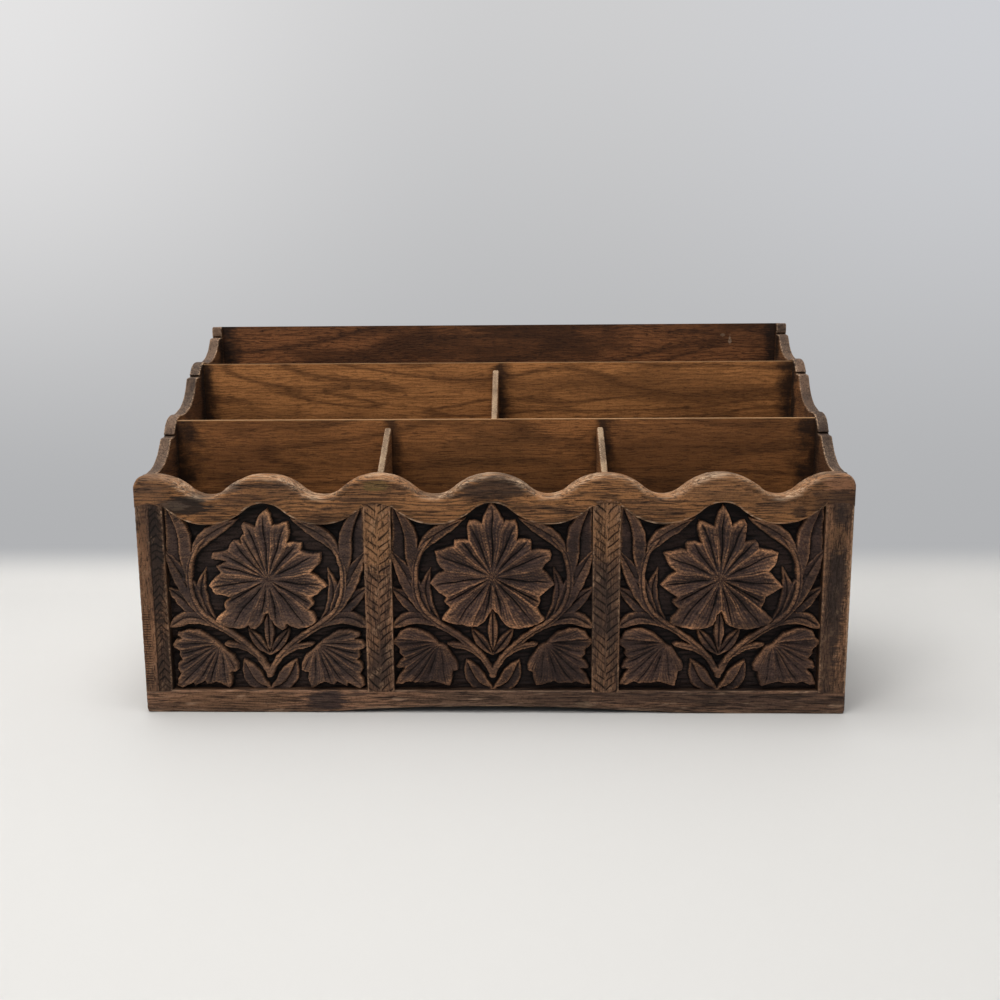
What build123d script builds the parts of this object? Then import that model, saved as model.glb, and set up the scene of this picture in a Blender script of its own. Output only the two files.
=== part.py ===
from build123d import *
import os
from math import atan2, cos, hypot, radians, sin, sqrt

# Three-tier desk letter holder with a carved front.
#
# A case of thin boards glued into grooves: a thick carved front panel, two sides cut to a
# stepped ogee profile, a plain back, a raised base, two partitions that make three tiers,
# and three short dividers that split the two lower tiers.
#
# X runs to the right, Y from front to back and Z up, in millimetres. Inside this file Y is
# measured from the front face. The written boards are moved so that the origin is on the
# table, under the middle of the holder.

# Overall size
WIDTH = 330.0
DEPTH = 134.0
BACK_TOP = 184.0

# Board thicknesses
FRONT_T = 13.0
SIDE_T = 5.5
BACK_T = 5.0
BASE_T = 4.0
PARTITION_T = 3.0
DIVIDER_T = 3.2

# Heights and places of the inner boards
BASE_TOP = 9.0
FRONT_PARTITION_Y = 47.2
FRONT_PARTITION_TOP = 135.5
REAR_PARTITION_Y = 92.0
REAR_PARTITION_TOP = 163.0

# Dividers: their top edge slopes down to the front, parallel to the stair of the sides
DIVIDER_FRONT_DROP = 2.0
DIVIDER_REAR_DROP = 2.0
DIVIDER_CORNER_R = 3.0

# Glued joints
FIT = 0.1
FRONT_RABBET = 4.0
BACK_RABBET = 2.5
BASE_GROOVE = 2.5
PARTITION_TONGUE = 2.0
DIVIDER_TONGUE = 1.0
TONGUE_SHOULDER = 9.0

# Front panel: frame round three sunk fields
OUTER_STILE = 13.1
INNER_STILE = 12.7
RAIL_TOP = 11.0
FIELD_DEPTH = 5.0
ARCH_RISE = 3.2
ARCH_HALF_SPAN = 84.0
CORNER_R = 5.5
CORNER_LIFT = 0.3
EDGE_R = 1.5

# Scalloped rim: a rounded band that follows a wave of equal tangent arcs
RIM_TOP = 113.4
RIM_WAVE = 10.0
SIDE_CRESTS = 3
RIM_BAND = 13.0
RIM_FRONT_R = 5.0
RIM_BACK_CHAMFER = 1.8

# Side profile. Each tier has a nose with a small quirk under it, a level tread, a hollow
# cavetto, and an ovolo that ends in the next nose. A nose stands in front of its board and
# below the board's top.
FRONT_NOSE_LEAD = 4.8
FRONT_NOSE_DROP = 7.9
REAR_NOSE_LEAD = 7.5
REAR_NOSE_DROP = 7.0
TOP_NOSE_LEAD = 7.6
TOP_NOSE_DROP = 6.6
TREAD = 5.0
OVOLO_RUN = 14.0
OVOLO_RISE_SHARE = 0.37
OVOLO_BULGE_SHARE = 0.18
CAVETTO_SAG_SHARE = 0.15
QUIRK_W = 1.4
QUIRK_D = 1.2

# Carved relief. Every petal, lobe, leaf and stem is a blade drawn from its root to its tip,
# in the X of its own field and in Z. The forms give the half width along a blade.
PETAL_FORM = [(0.0, 0.36), (0.5, 0.92), (0.8, 0.9), (1.0, 0.0)]
LEAF_FORM = [(0.0, 0.0), (0.35, 0.9), (0.7, 0.85), (1.0, 0.0)]
STEM_FORM = [(0.0, 1.0), (0.33, 1.0), (0.67, 1.0), (1.0, 1.0)]
RELIEF_ROOT = 0.5
HUB_R = 2.4
HUB_SIDES = 8
HUB_LIFT = 0.3
VEIN_W = 1.8
VEIN_START = 5.5
VEIN_REACH = 0.86

# The flower: petals on both sides of the upright as (angle, length, width)
FLOWER_Z = 65.5
TOP_PETAL = (0, 35.0, 10.5)
SIDE_PETALS = [
    (22, 28.0, 10.0),
    (46, 25.0, 9.0),
    (67, 29.5, 10.5),
    (97, 29.0, 13.0),
    (118, 24.5, 8.0),
    (132, 31.0, 11.0),
    (156, 26.0, 14.0),
]
FLOWER_H = 4.2

# The half flower in each lower corner: lobes from one root as (tip, width)
FAN_ROOT = (-20.5, 33.0)
FAN_LOBES = [
    ((-43.5, 39.0), 8.0),
    ((-45.8, 31.0), 7.0),
    ((-45.2, 21.5), 8.0),
    ((-45.0, 13.0), 8.0),
    ((-35.0, 13.4), 7.5),
    ((-27.0, 13.6), 7.0),
    ((-19.6, 12.6), 8.5),
]
FAN_H = 4.0

# Leaves and stems of the left half as (root, tip, bend, width)
CORNER_LEAF = ((-37.0, 66.0), (-43.0, 97.0), -1.0, 10.0)
UPPER_LEAF = ((-33.5, 52.0), (-46.0, 79.0), 1.2, 7.0)
LOWER_LEAF = ((-28.0, 45.0), (-46.0, 61.0), 0.6, 7.0)
BROW_LEAF = ((-22.5, 40.5), (-45.8, 42.0), -4.0, 4.6)
INNER_LEAF = ((-25.6, 43.0), (-28.6, 69.0), 3.2, 4.6)
END_LEAF = ((-31.5, 79.0), (-13.0, 92.2), 2.4, 6.0)
FORK_LEAF = ((0.0, 27.0), (-9.8, 39.6), 0.4, 4.6)
FOOT_LEAF = ((0.0, 12.6), (-12.8, 25.6), 0.6, 6.4)
BUD = ((0.0, 30.0), (0.0, 48.0), 0.0, 5.0)
LEAF_H = 3.4
LOWER_STEM = ((0.6, 17.8), (-25.6, 43.2), 2.0, 3.0)
UPPER_STEM = ((-24.6, 42.2), (-31.2, 80.6), 9.6, 3.0)
FAN_STEM = ((-6.0, 27.0), (-21.0, 33.6), 1.6, 2.6)
STEM_H = 3.8
FLOWER_DRAFT = 13
LEAF_DRAFT = 10

FIELD_W = (WIDTH - 2 * OUTER_STILE - 2 * INNER_STILE) / 3
FIELD_PITCH = FIELD_W + INNER_STILE
INNER_X = WIDTH / 2 - SIDE_T
BACK_Y = DEPTH - BACK_T
NOSES = [
    (FRONT_PARTITION_Y - FRONT_NOSE_LEAD, FRONT_PARTITION_TOP - FRONT_NOSE_DROP),
    (REAR_PARTITION_Y - REAR_NOSE_LEAD, REAR_PARTITION_TOP - REAR_NOSE_DROP),
    (DEPTH - TOP_NOSE_LEAD, BACK_TOP - TOP_NOSE_DROP),
]
SIDE_FRONT_TOP = RIM_TOP - RIM_BACK_CHAMFER / 2


def box_between(low, high):
    """A block given by its lowest and highest corners."""
    size = [b - a for a, b in zip(low, high)]
    return Pos(*low) * Box(*size, align=(Align.MIN, Align.MIN, Align.MIN))


def extrude_to_front(face, back_y, amount, taper=0):
    """Extrude a drawing in X and Z from the plane Y = back_y towards the front."""
    return extrude(Plane.XZ.offset(-back_y) * face, amount=amount, taper=taper)


def wave(offset, half_width=WIDTH / 2):
    """The rim's centre line moved up by offset, as arcs from the left end to the right.

    Crests stand over the middle of each field and each stile, SIDE_CRESTS of them on both
    sides of the middle one. Moving the line widens the crests and narrows the troughs, or
    the reverse.
    """
    pitch = FIELD_PITCH / 2
    swing = 2 * atan2(RIM_WAVE, pitch / 2)
    radius = pitch / 4 / sin(swing)
    crest_z = RIM_TOP - RIM_BAND / 2
    crest_r = radius + offset
    trough_r = radius - offset
    trough_z = crest_z - RIM_WAVE
    reach = crest_r * sin(swing)
    join_z = crest_z - radius + crest_r * cos(swing)
    end_run = half_width - SIDE_CRESTS * pitch
    end_z = crest_z - radius + sqrt(crest_r**2 - end_run**2)
    arcs = []
    for k in range(-SIDE_CRESTS, SIDE_CRESTS + 1):
        x = k * pitch
        left = (-half_width, end_z) if k == -SIDE_CRESTS else (x - reach, join_z)
        right = (half_width, end_z) if k == SIDE_CRESTS else (x + reach, join_z)
        arcs.append(ThreePointArc(left, (x, crest_z + offset), right))
        if k < SIDE_CRESTS:
            low = (x + pitch / 2, trough_z + radius - trough_r)
            arcs.append(ThreePointArc(right, low, (x + pitch - reach, join_z)))
    return arcs


def area_under(arcs, floor_z):
    """The face between a row of arcs and a level line below it."""
    start = arcs[0] @ 0
    end = arcs[-1] @ 1
    base = Polyline((start.X, start.Y), (start.X, floor_z), (end.X, floor_z), (end.X, end.Y))
    return make_face(arcs + base.edges())


def field_faces():
    """The three sunk fields between the stiles, the bottom rail and the rim."""
    under_rim = area_under(wave(-RIM_BAND / 2), RAIL_TOP)
    window = Pos(0, RAIL_TOP + RIM_TOP / 2) * Rectangle(FIELD_W, RIM_TOP)
    return [under_rim & (Pos(k * FIELD_PITCH, 0) * window) for k in (-1, 0, 1)]


def blade(root, tip, bend, width, form):
    """A petal, leaf or stem as a face: a curved middle line with a width on both sides."""
    run_x = tip[0] - root[0]
    run_z = tip[1] - root[1]
    length = hypot(run_x, run_z)
    left, right = [], []
    for share, half in form:
        middle = 4 * bend * share * (1 - share)
        for side, points in ((1, left), (-1, right)):
            reach = (middle + side * half * width / 2) / length
            along_x = root[0] + share * run_x
            along_z = root[1] + share * run_z
            points.append((along_x - reach * run_z, along_z + reach * run_x))
    if form[0][1] == 0:
        right.pop(0)
    if form[-1][1] == 0:
        right.pop()
    return make_face(Polyline(*left, *reversed(right), close=True).edges())


def raised(face, height, draft):
    """Stand a drawing up from the floor of its field, narrowing towards the front."""
    return extrude_to_front(face, FIELD_DEPTH + RELIEF_ROOT, height + RELIEF_ROOT, draft)


def vein(root, tip, height):
    """The straight V cut along a petal's middle, in its front surface."""
    run_x = tip[0] - root[0]
    run_z = tip[1] - root[1]
    length = hypot(run_x, run_z)
    start = VEIN_START / length
    origin = (root[0] + start * run_x, FIELD_DEPTH - height, root[1] + start * run_z)
    across = Plane(origin=origin, x_dir=(-run_z, 0, run_x), z_dir=(run_x, 0, run_z))
    section = across * Rot(0, 0, 45) * Rectangle(VEIN_W / sqrt(2), VEIN_W / sqrt(2))
    return extrude(section, amount=VEIN_REACH * length - VEIN_START)


def petal_group(root, petals, height):
    """Petals from one root, joined: petals are (tip, width)."""
    hub = raised(Pos(*root) * RegularPolygon(HUB_R, HUB_SIDES), height + HUB_LIFT, 0)
    blades = [blade(root, tip, 0, width, PETAL_FORM) for tip, width in petals]
    return hub.fuse(*[raised(face, height, FLOWER_DRAFT) for face in blades])


def flower():
    """The large open flower in the middle of a field."""
    root = (0, FLOWER_Z)
    petals = []
    for angle, length, width in [TOP_PETAL] + SIDE_PETALS + [(-a, l, w) for a, l, w in SIDE_PETALS]:
        tip = (length * sin(radians(angle)), FLOWER_Z + length * cos(radians(angle)))
        petals.append((tip, width))
    veins = [vein(root, tip, FLOWER_H) for tip, width in petals]
    return petal_group(root, petals, FLOWER_H).cut(*veins)


def foliage():
    """The left half of a field round the flower: half flower, leaves and stems."""
    leaves = [
        CORNER_LEAF, UPPER_LEAF, LOWER_LEAF, BROW_LEAF, INNER_LEAF, END_LEAF, FORK_LEAF, FOOT_LEAF
    ]
    stems = [LOWER_STEM, UPPER_STEM, FAN_STEM]
    solids = [raised(blade(*leaf, LEAF_FORM), LEAF_H, LEAF_DRAFT) for leaf in leaves]
    solids += [raised(blade(*stem, STEM_FORM), STEM_H, LEAF_DRAFT) for stem in stems]
    return petal_group(FAN_ROOT, FAN_LOBES, FAN_H).fuse(*solids)


def relief():
    """Everything that is carved in one field."""
    left = foliage()
    bud = raised(blade(*BUD, LEAF_FORM), LEAF_H, LEAF_DRAFT)
    return flower().fuse(left, mirror(left, about=Plane.YZ), bud)


def front_panel():
    """The thick front: scalloped round rim, arched foot, three sunk fields, joints behind."""
    blank_wave = wave(RIM_BAND / 2, WIDTH / 2 + RIM_FRONT_R)
    panel = extrude_to_front(area_under(blank_wave, 0), FRONT_T, FRONT_T)
    rim_low = RIM_TOP - RIM_WAVE - RIM_BAND
    rim_edges = panel.edges().filter_by(lambda e: e.center().Z > rim_low)
    panel = fillet(rim_edges.filter_by_position(Axis.Y, -FIT, FIT), RIM_FRONT_R)
    rim_edges = panel.edges().filter_by(lambda e: e.center().Z > rim_low)
    back_edges = rim_edges.filter_by_position(Axis.Y, FRONT_T - FIT, FRONT_T + FIT)
    panel = chamfer(back_edges, RIM_BACK_CHAMFER)
    frame_top = RIM_TOP + CORNER_LIFT
    frame = Pos(0, frame_top / 2) * Rectangle(WIDTH, frame_top)
    frame = fillet(frame.vertices().group_by(Axis.Y)[-1], CORNER_R)
    arch = make_face(
        [
            ThreePointArc((-ARCH_HALF_SPAN, 0), (0, ARCH_RISE), (ARCH_HALF_SPAN, 0)),
            Line((ARCH_HALF_SPAN, 0), (-ARCH_HALF_SPAN, 0)),
        ]
    )
    panel &= extrude_to_front(frame - arch, FRONT_T, FRONT_T)
    panel = fillet(panel.edges().filter_by(Axis.Z).group_by(Axis.Y)[0], EDGE_R)
    for face in field_faces():
        panel -= extrude_to_front(face, FIELD_DEPTH, FIELD_DEPTH)
    panel -= front_joint_cuts()
    carving = relief()
    return panel.fuse(*[Pos(k * FIELD_PITCH, 0, 0) * carving for k in (-1, 0, 1)])


def front_joint_cuts():
    """Rabbets for the sides, a groove for the base and two housings for the dividers."""
    rabbet_y = FRONT_T - FRONT_RABBET
    top = front_tongue_top() + FIT
    cuts = [
        box_between((INNER_X - FIT, rabbet_y, 0), (WIDTH / 2, FRONT_T, top)),
        box_between((-WIDTH / 2, rabbet_y, 0), (FIT - INNER_X, FRONT_T, top)),
        box_between(
            (-INNER_X, FRONT_T - BASE_GROOVE, BASE_TOP - BASE_T),
            (INNER_X, FRONT_T, BASE_TOP + FIT),
        ),
    ]
    for x in divider_places():
        cuts.append(divider_housing(x, FRONT_T - DIVIDER_TONGUE, FRONT_T, front_tongue_top()))
    return cuts


def front_tongue_top():
    """Where the joints at the front panel's back stop, hidden below the rim."""
    return RIM_TOP - TONGUE_SHOULDER


def divider_places():
    """The front dividers stand in line with the inner stiles."""
    return [-FIELD_PITCH / 2, FIELD_PITCH / 2]


def divider_housing(x, y_low, y_high, tongue_top):
    """The stopped groove that takes one end of a divider."""
    half = DIVIDER_T / 2 + FIT
    return box_between((x - half, y_low, BASE_TOP), (x + half, y_high, tongue_top + FIT))


def tier_profile(nose_y, nose_z, fillet_y, fillet_z):
    """One tier of the side's edge, from its nose down to the fillet line in front of it.

    A small quirk under the nose, a level tread, then a hollow cavetto.
    """
    tread_end = (nose_y - TREAD, nose_z)
    quirk = Polyline(
        (nose_y, nose_z + QUIRK_W),
        (nose_y + QUIRK_D, nose_z + QUIRK_W / 2),
        (nose_y, nose_z),
        tread_end,
    )
    sag = CAVETTO_SAG_SHARE * hypot(tread_end[0] - fillet_y, tread_end[1] - fillet_z)
    return quirk.edges() + [SagittaArc(tread_end, (fillet_y, fillet_z), sag)]


def side_profile():
    """The edge of a side board as a closed face, drawn in Y and Z."""
    tongue_y = FRONT_T - FRONT_RABBET
    nose_y, nose_z = NOSES[-1]
    edges = Polyline(
        (tongue_y, front_tongue_top()),
        (tongue_y, 0),
        (DEPTH, 0),
        (DEPTH, BACK_TOP),
        (nose_y, BACK_TOP),
        (nose_y, nose_z + QUIRK_W),
    ).edges()
    for k in (2, 1):
        upper_y, upper_z = NOSES[k]
        lower_y, lower_z = NOSES[k - 1]
        rise = OVOLO_RISE_SHARE * (upper_z - lower_z)
        fillet_at = (lower_y + OVOLO_RUN, lower_z + rise)
        edges += tier_profile(upper_y, upper_z, *fillet_at)
        bulge = OVOLO_BULGE_SHARE * hypot(OVOLO_RUN, rise)
        edges.append(SagittaArc(fillet_at, (lower_y, lower_z + QUIRK_W), -bulge))
    edges += tier_profile(*NOSES[0], FRONT_T, SIDE_FRONT_TOP)
    edges += Polyline(
        (FRONT_T, SIDE_FRONT_TOP),
        (FRONT_T, front_tongue_top()),
        (tongue_y, front_tongue_top()),
    ).edges()
    return make_face(edges)


def right_side():
    """The right side board with its joints cut in the inner face."""
    board = extrude(Plane.YZ.offset(INNER_X) * side_profile(), amount=SIDE_T)
    cuts = [
        box_between((INNER_X, BACK_Y, 0), (INNER_X + BACK_RABBET, DEPTH, BACK_TOP)),
        box_between(
            (INNER_X, 0, BASE_TOP - BASE_T),
            (INNER_X + BASE_GROOVE, DEPTH, BASE_TOP + FIT),
        ),
    ]
    for y, top in (
        (FRONT_PARTITION_Y, FRONT_PARTITION_TOP),
        (REAR_PARTITION_Y, REAR_PARTITION_TOP),
    ):
        low = (INNER_X, y - FIT, BASE_TOP)
        high = (INNER_X + PARTITION_TONGUE + FIT, y + PARTITION_T + FIT, top - TONGUE_SHOULDER + FIT)
        cuts.append(box_between(low, high))
    return board - cuts


def back_panel():
    """The plain back board between the sides, with a groove for the base."""
    half = INNER_X + BACK_RABBET - FIT
    board = box_between((-half, BACK_Y, 0), (half, DEPTH, BACK_TOP))
    groove = box_between(
        (-half, BACK_Y, BASE_TOP - BASE_T), (half, BACK_Y + BASE_GROOVE, BASE_TOP + FIT)
    )
    return board - groove


def base_panel():
    """The raised base, let into all four walls."""
    tongue = BASE_GROOVE - FIT
    low = (-INNER_X - tongue, FRONT_T - tongue, BASE_TOP - BASE_T)
    high = (INNER_X + tongue, BACK_Y + tongue, BASE_TOP)
    return box_between(low, high)


def partition(y, top):
    """A partition board: full height between the sides, with a lower tongue at each end."""
    board = box_between((-INNER_X, y, BASE_TOP), (INNER_X, y + PARTITION_T, top))
    reach = INNER_X + PARTITION_TONGUE
    tongue = box_between(
        (-reach, y, BASE_TOP), (reach, y + PARTITION_T, top - TONGUE_SHOULDER)
    )
    return board + tongue


def front_partition():
    """The lower partition, housed for the two front dividers and the middle one."""
    board = partition(FRONT_PARTITION_Y, FRONT_PARTITION_TOP)
    front_face = FRONT_PARTITION_Y
    rear_face = FRONT_PARTITION_Y + PARTITION_T
    top = FRONT_PARTITION_TOP - TONGUE_SHOULDER
    for x in divider_places():
        board -= divider_housing(x, front_face, front_face + DIVIDER_TONGUE, top)
    return board - divider_housing(0, rear_face - DIVIDER_TONGUE, rear_face, top)


def rear_partition():
    """The taller partition, housed for the middle divider."""
    board = partition(REAR_PARTITION_Y, REAR_PARTITION_TOP)
    top = REAR_PARTITION_TOP - TONGUE_SHOULDER
    return board - divider_housing(0, REAR_PARTITION_Y, REAR_PARTITION_Y + DIVIDER_TONGUE, top)


def divider(x, y_front, front_top, front_tongue, y_rear, rear_top, rear_tongue):
    """A short divider with a sloping top, a rounded top corner and a tongue at each end."""
    tongue = DIVIDER_TONGUE - FIT
    outline = make_face(
        Polyline(
            (y_front, BASE_TOP),
            (y_rear, BASE_TOP),
            (y_rear, rear_top),
            (y_front, front_top),
            close=True,
        ).edges()
    )
    corner = outline.vertices().sort_by(Axis.Y)[-1]
    outline = fillet(corner, DIVIDER_CORNER_R)
    board = extrude(Plane.YZ.offset(x - DIVIDER_T / 2) * outline, amount=DIVIDER_T)
    for y_a, y_b, top in (
        (y_front - tongue, y_front, front_tongue),
        (y_rear, y_rear + tongue, rear_tongue),
    ):
        board += box_between((x - DIVIDER_T / 2, y_a, BASE_TOP), (x + DIVIDER_T / 2, y_b, top))
    return board


def front_divider(x):
    """A divider between the front panel and the front partition."""
    return divider(
        x,
        FRONT_T,
        RIM_TOP - DIVIDER_FRONT_DROP,
        front_tongue_top(),
        FRONT_PARTITION_Y,
        FRONT_PARTITION_TOP - DIVIDER_REAR_DROP,
        FRONT_PARTITION_TOP - TONGUE_SHOULDER,
    )


def middle_divider():
    """The divider between the two partitions."""
    return divider(
        0,
        FRONT_PARTITION_Y + PARTITION_T,
        FRONT_PARTITION_TOP - DIVIDER_FRONT_DROP,
        FRONT_PARTITION_TOP - TONGUE_SHOULDER,
        REAR_PARTITION_Y,
        REAR_PARTITION_TOP - DIVIDER_REAR_DROP,
        REAR_PARTITION_TOP - TONGUE_SHOULDER,
    )


def boards():
    """Every board of the holder by its name."""
    side = right_side()
    left_x, right_x = divider_places()
    return {
        "front_panel": front_panel(),
        "left_side": mirror(side, about=Plane.YZ),
        "right_side": side,
        "back_panel": back_panel(),
        "base_panel": base_panel(),
        "front_partition": front_partition(),
        "rear_partition": rear_partition(),
        "middle_divider": middle_divider(),
        "front_divider_left": front_divider(left_x),
        "front_divider_right": front_divider(right_x),
    }


os.makedirs("parts", exist_ok=True)
for name, board in boards().items():
    export_step(Pos(0, -DEPTH / 2, 0) * board, f"parts/{name}.step")
    print(name, round(board.volume), "mm3")
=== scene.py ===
"""Looks of the carved three-tier letter holder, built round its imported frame.

Every length is in millimetres in the part's own frame, with X to the right, Y from the front
face to the back and Z up, until a mesh is written. There it becomes metres in the row frame,
whose origin is under the middle of the holder.
"""

import logging
import math
from collections.abc import Callable
from dataclasses import dataclass, field, replace
from enum import Enum

import bpy
import numpy as np
from mathutils import Matrix, Vector
from mathutils.geometry import delaunay_2d_cdt


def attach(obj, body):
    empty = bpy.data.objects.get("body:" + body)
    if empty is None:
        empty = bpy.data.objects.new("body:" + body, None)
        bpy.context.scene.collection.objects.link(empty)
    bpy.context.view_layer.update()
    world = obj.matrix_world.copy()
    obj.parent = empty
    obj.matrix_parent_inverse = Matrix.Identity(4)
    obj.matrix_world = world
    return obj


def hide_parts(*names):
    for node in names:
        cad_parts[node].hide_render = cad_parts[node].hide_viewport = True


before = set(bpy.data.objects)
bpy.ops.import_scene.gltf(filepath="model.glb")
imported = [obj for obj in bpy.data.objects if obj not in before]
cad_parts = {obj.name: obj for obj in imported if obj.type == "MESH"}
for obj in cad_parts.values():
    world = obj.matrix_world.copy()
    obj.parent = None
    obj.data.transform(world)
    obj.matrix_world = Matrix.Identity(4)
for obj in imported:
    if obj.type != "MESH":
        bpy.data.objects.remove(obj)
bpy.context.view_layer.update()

LOG = logging.getLogger("letter_holder")
BODY = "root"
MM = 0.001
HOLDER_DEPTH = 134.0
BOARDS_FRONT = 13.0
DIVIDER_FOOT = 9.0
ALL_DEPTHS = 1e4

Point = tuple[float, float]
Socket = bpy.types.NodeSocket
Value = Socket | float
Colour = Socket | tuple[float, float, float, float]


def srgb(red: float, green: float, blue: float) -> tuple[float, float, float, float]:
    """A display colour of 0 to 255 per channel as the linear colour that shaders use.

    Args:
        red: Red channel.
        green: Green channel.
        blue: Blue channel.

    Returns:
        Linear red, green, blue and an alpha of one.
    """
    shares = np.array([red, green, blue]) / 255.0
    linear = np.where(shares <= 0.04045, shares / 12.92, ((shares + 0.055) / 1.055) ** 2.4)
    return (float(linear[0]), float(linear[1]), float(linear[2]), 1.0)


def smooth_step(low: float, high: float, value: np.ndarray) -> np.ndarray:
    """Rise from 0 to 1 between two values, level at both ends.

    Args:
        low: Where the rise starts.
        high: Where it ends.
        value: Values to map.

    Returns:
        3 t^2 - 2 t^3 of the clamped share t.
    """
    share = np.clip((value - low) / (high - low), 0.0, 1.0)
    return share * share * (3.0 - 2.0 * share)


def ripple(x: np.ndarray, z: np.ndarray, seed: int, length_x: float, length_z: float) -> np.ndarray:
    """A smooth uneven field that is the same in each run.

    The sum of seven sine waves with seeded directions and phases, scaled to about -1 to 1.

    Args:
        x: First coordinate.
        z: Second coordinate.
        seed: Seed of the directions and phases.
        length_x: Wave length along the first coordinate.
        length_z: Wave length along the second coordinate.

    Returns:
        The field at each point.
    """
    draw = np.random.default_rng(seed)
    total = np.zeros(np.broadcast(x, z).shape)
    for _ in range(7):
        turn = draw.uniform(0.0, math.tau)
        pace = draw.uniform(0.6, 1.7)
        phase = draw.uniform(0.0, math.tau)
        along = math.cos(turn) * x / length_x + math.sin(turn) * z / length_z
        total += np.sin(math.tau * pace * along + phase)
    return total / 4.0


def blurred(values: np.ndarray, reach: float) -> np.ndarray:
    """Values averaged over their neighbours with a bell curve along both grid directions.

    Args:
        values: A grid of values.
        reach: Standard deviation of the bell curve, in cells.

    Returns:
        The averaged grid, of the same shape.
    """
    span = int(math.ceil(2.5 * reach))
    offsets = np.arange(-span, span + 1)
    weights = np.exp(-0.5 * (offsets / reach) ** 2)
    weights /= weights.sum()
    for axis in (0, 1):
        pad = [(span, span) if k == axis else (0, 0) for k in (0, 1)]
        padded = np.pad(values, pad, mode="edge")
        count = values.shape[axis]
        parts = [
            weight * np.take(padded, np.arange(k, k + count), axis=axis)
            for k, weight in enumerate(weights)
        ]
        values = np.sum(parts, axis=0)
    return values


def linked(name: str, data: bpy.types.ID) -> bpy.types.Object:
    """A new object of the scene that shows the given data.

    Args:
        name: Name of the object.
        data: Mesh, lamp or camera that it shows.

    Returns:
        The object.
    """
    made = bpy.data.objects.new(name, data)
    bpy.context.scene.collection.objects.link(made)
    return made


def new_piece(
    name: str,
    points: np.ndarray,
    faces: list[list[int]],
    finish: bpy.types.Material,
    masks: dict[str, np.ndarray],
    sharp_degrees: float,
    replaces: tuple[str, ...] = (),
) -> bpy.types.Object:
    """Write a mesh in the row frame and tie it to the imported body.

    Args:
        name: Name of the piece.
        points: Points in the part's frame, in millimetres.
        faces: Lists of point indices, outwards by the right-hand rule.
        finish: Material of the piece.
        masks: Values from 0 to 1 per point, by attribute name.
        sharp_degrees: Edges that turn by more than this stay sharp.
        replaces: CAD nodes that the piece stands for.

    Returns:
        The new object.
    """
    mesh = bpy.data.meshes.new(name)
    placed = (points - np.array([0.0, HOLDER_DEPTH / 2.0, 0.0])) * MM
    mesh.from_pydata(placed, [], faces)
    for key, values in masks.items():
        layer = mesh.attributes.new(key, "FLOAT", "POINT")
        layer.data.foreach_set("value", values.astype(np.float32).ravel())
    mesh.polygons.foreach_set("use_smooth", np.ones(len(mesh.polygons), bool))
    mesh.set_sharp_from_angle(angle=math.radians(sharp_degrees))
    mesh.materials.append(finish)
    mesh.update()
    piece = linked(name, mesh)
    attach(piece, BODY)
    if replaces:
        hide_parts(*replaces)
    return piece


def grid_quads(columns: int, rows: int) -> np.ndarray:
    """Quads of a grid whose point (i, j) has the index i * rows + j.

    Args:
        columns: Points along the first direction.
        rows: Points along the second direction.

    Returns:
        An array of four indices per quad, in the order i, i + 1, j + 1.
    """
    i, j = np.meshgrid(np.arange(columns - 1), np.arange(rows - 1), indexing="ij")
    start = (i * rows + j).ravel()
    return np.stack([start, start + rows, start + rows + 1, start + 1], axis=1)


def grid_ring(columns: int, rows: int) -> np.ndarray:
    """Indices of a grid's border, once round from its first point.

    Args:
        columns: Number of points in the first direction.
        rows: Number of points in the second direction.

    Returns:
        The indices in order.
    """
    index = np.arange(columns * rows).reshape(columns, rows)
    parts = [index[:-1, 0], index[-1, :-1], index[:0:-1, -1], index[0, :0:-1]]
    return np.concatenate(parts)


@dataclass
class FrontSheet:
    """A board whose front is a grid over X and Z, closed by straight sides and a flat back.

    The grid's border runs straight back to back_y. Glaze and painted shade darken the first
    stretch of these walls, but for those at the holder's two ends.
    """

    name: str
    x: np.ndarray
    y: np.ndarray
    z: np.ndarray
    back_y: float
    masks: dict[str, np.ndarray]
    # Depth, strength and reach of the glaze and painted shade on the walls.
    glaze_and_shade_depth: float = 0.9
    stain: float = 0.85
    glaze_and_shade_reach: float = 160.0

    def build(self, finish: bpy.types.Material, sharp: float = 60.0) -> bpy.types.Object:
        """Close the sheet and write it as a piece.

        Args:
            finish: Material of the piece.
            sharp: Edges that turn by more than this angle stay sharp.

        Returns:
            The new object.
        """
        columns, rows = self.x.shape
        front = np.stack([self.x, self.y, self.z], axis=-1).reshape(-1, 3)
        ring = grid_ring(columns, rows)
        wall, back = front[ring].copy(), front[ring].copy()
        wall[:, 1] = np.minimum(wall[:, 1] + self.glaze_and_shade_depth, self.back_y - 0.5)
        back[:, 1] = self.back_y
        loops = [ring, len(front) + np.arange(len(ring))]
        loops.append(loops[1] + len(ring))
        skirt = np.concatenate(
            [np.stack([np.roll(a, -1), a, b, np.roll(b, -1)], axis=1) for a, b in zip(loops, loops[1:])]
        )
        faces = grid_quads(columns, rows).tolist() + skirt.tolist() + [loops[2][::-1].tolist()]
        # Glaze and painted shade on the walls' first stretch, not at the holder's two ends.
        inward = self.stain * (np.abs(wall[:, 0]) < self.glaze_and_shade_reach)
        fills = {"hollow": inward, "worn": 0.0 * inward}
        masks = {
            key: np.concatenate([values.ravel(), fills[key], fills[key]])
            for key, values in self.masks.items()
        }
        points = np.concatenate([front, wall, back])
        return new_piece(self.name, points, faces, finish, masks, sharp)


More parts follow.
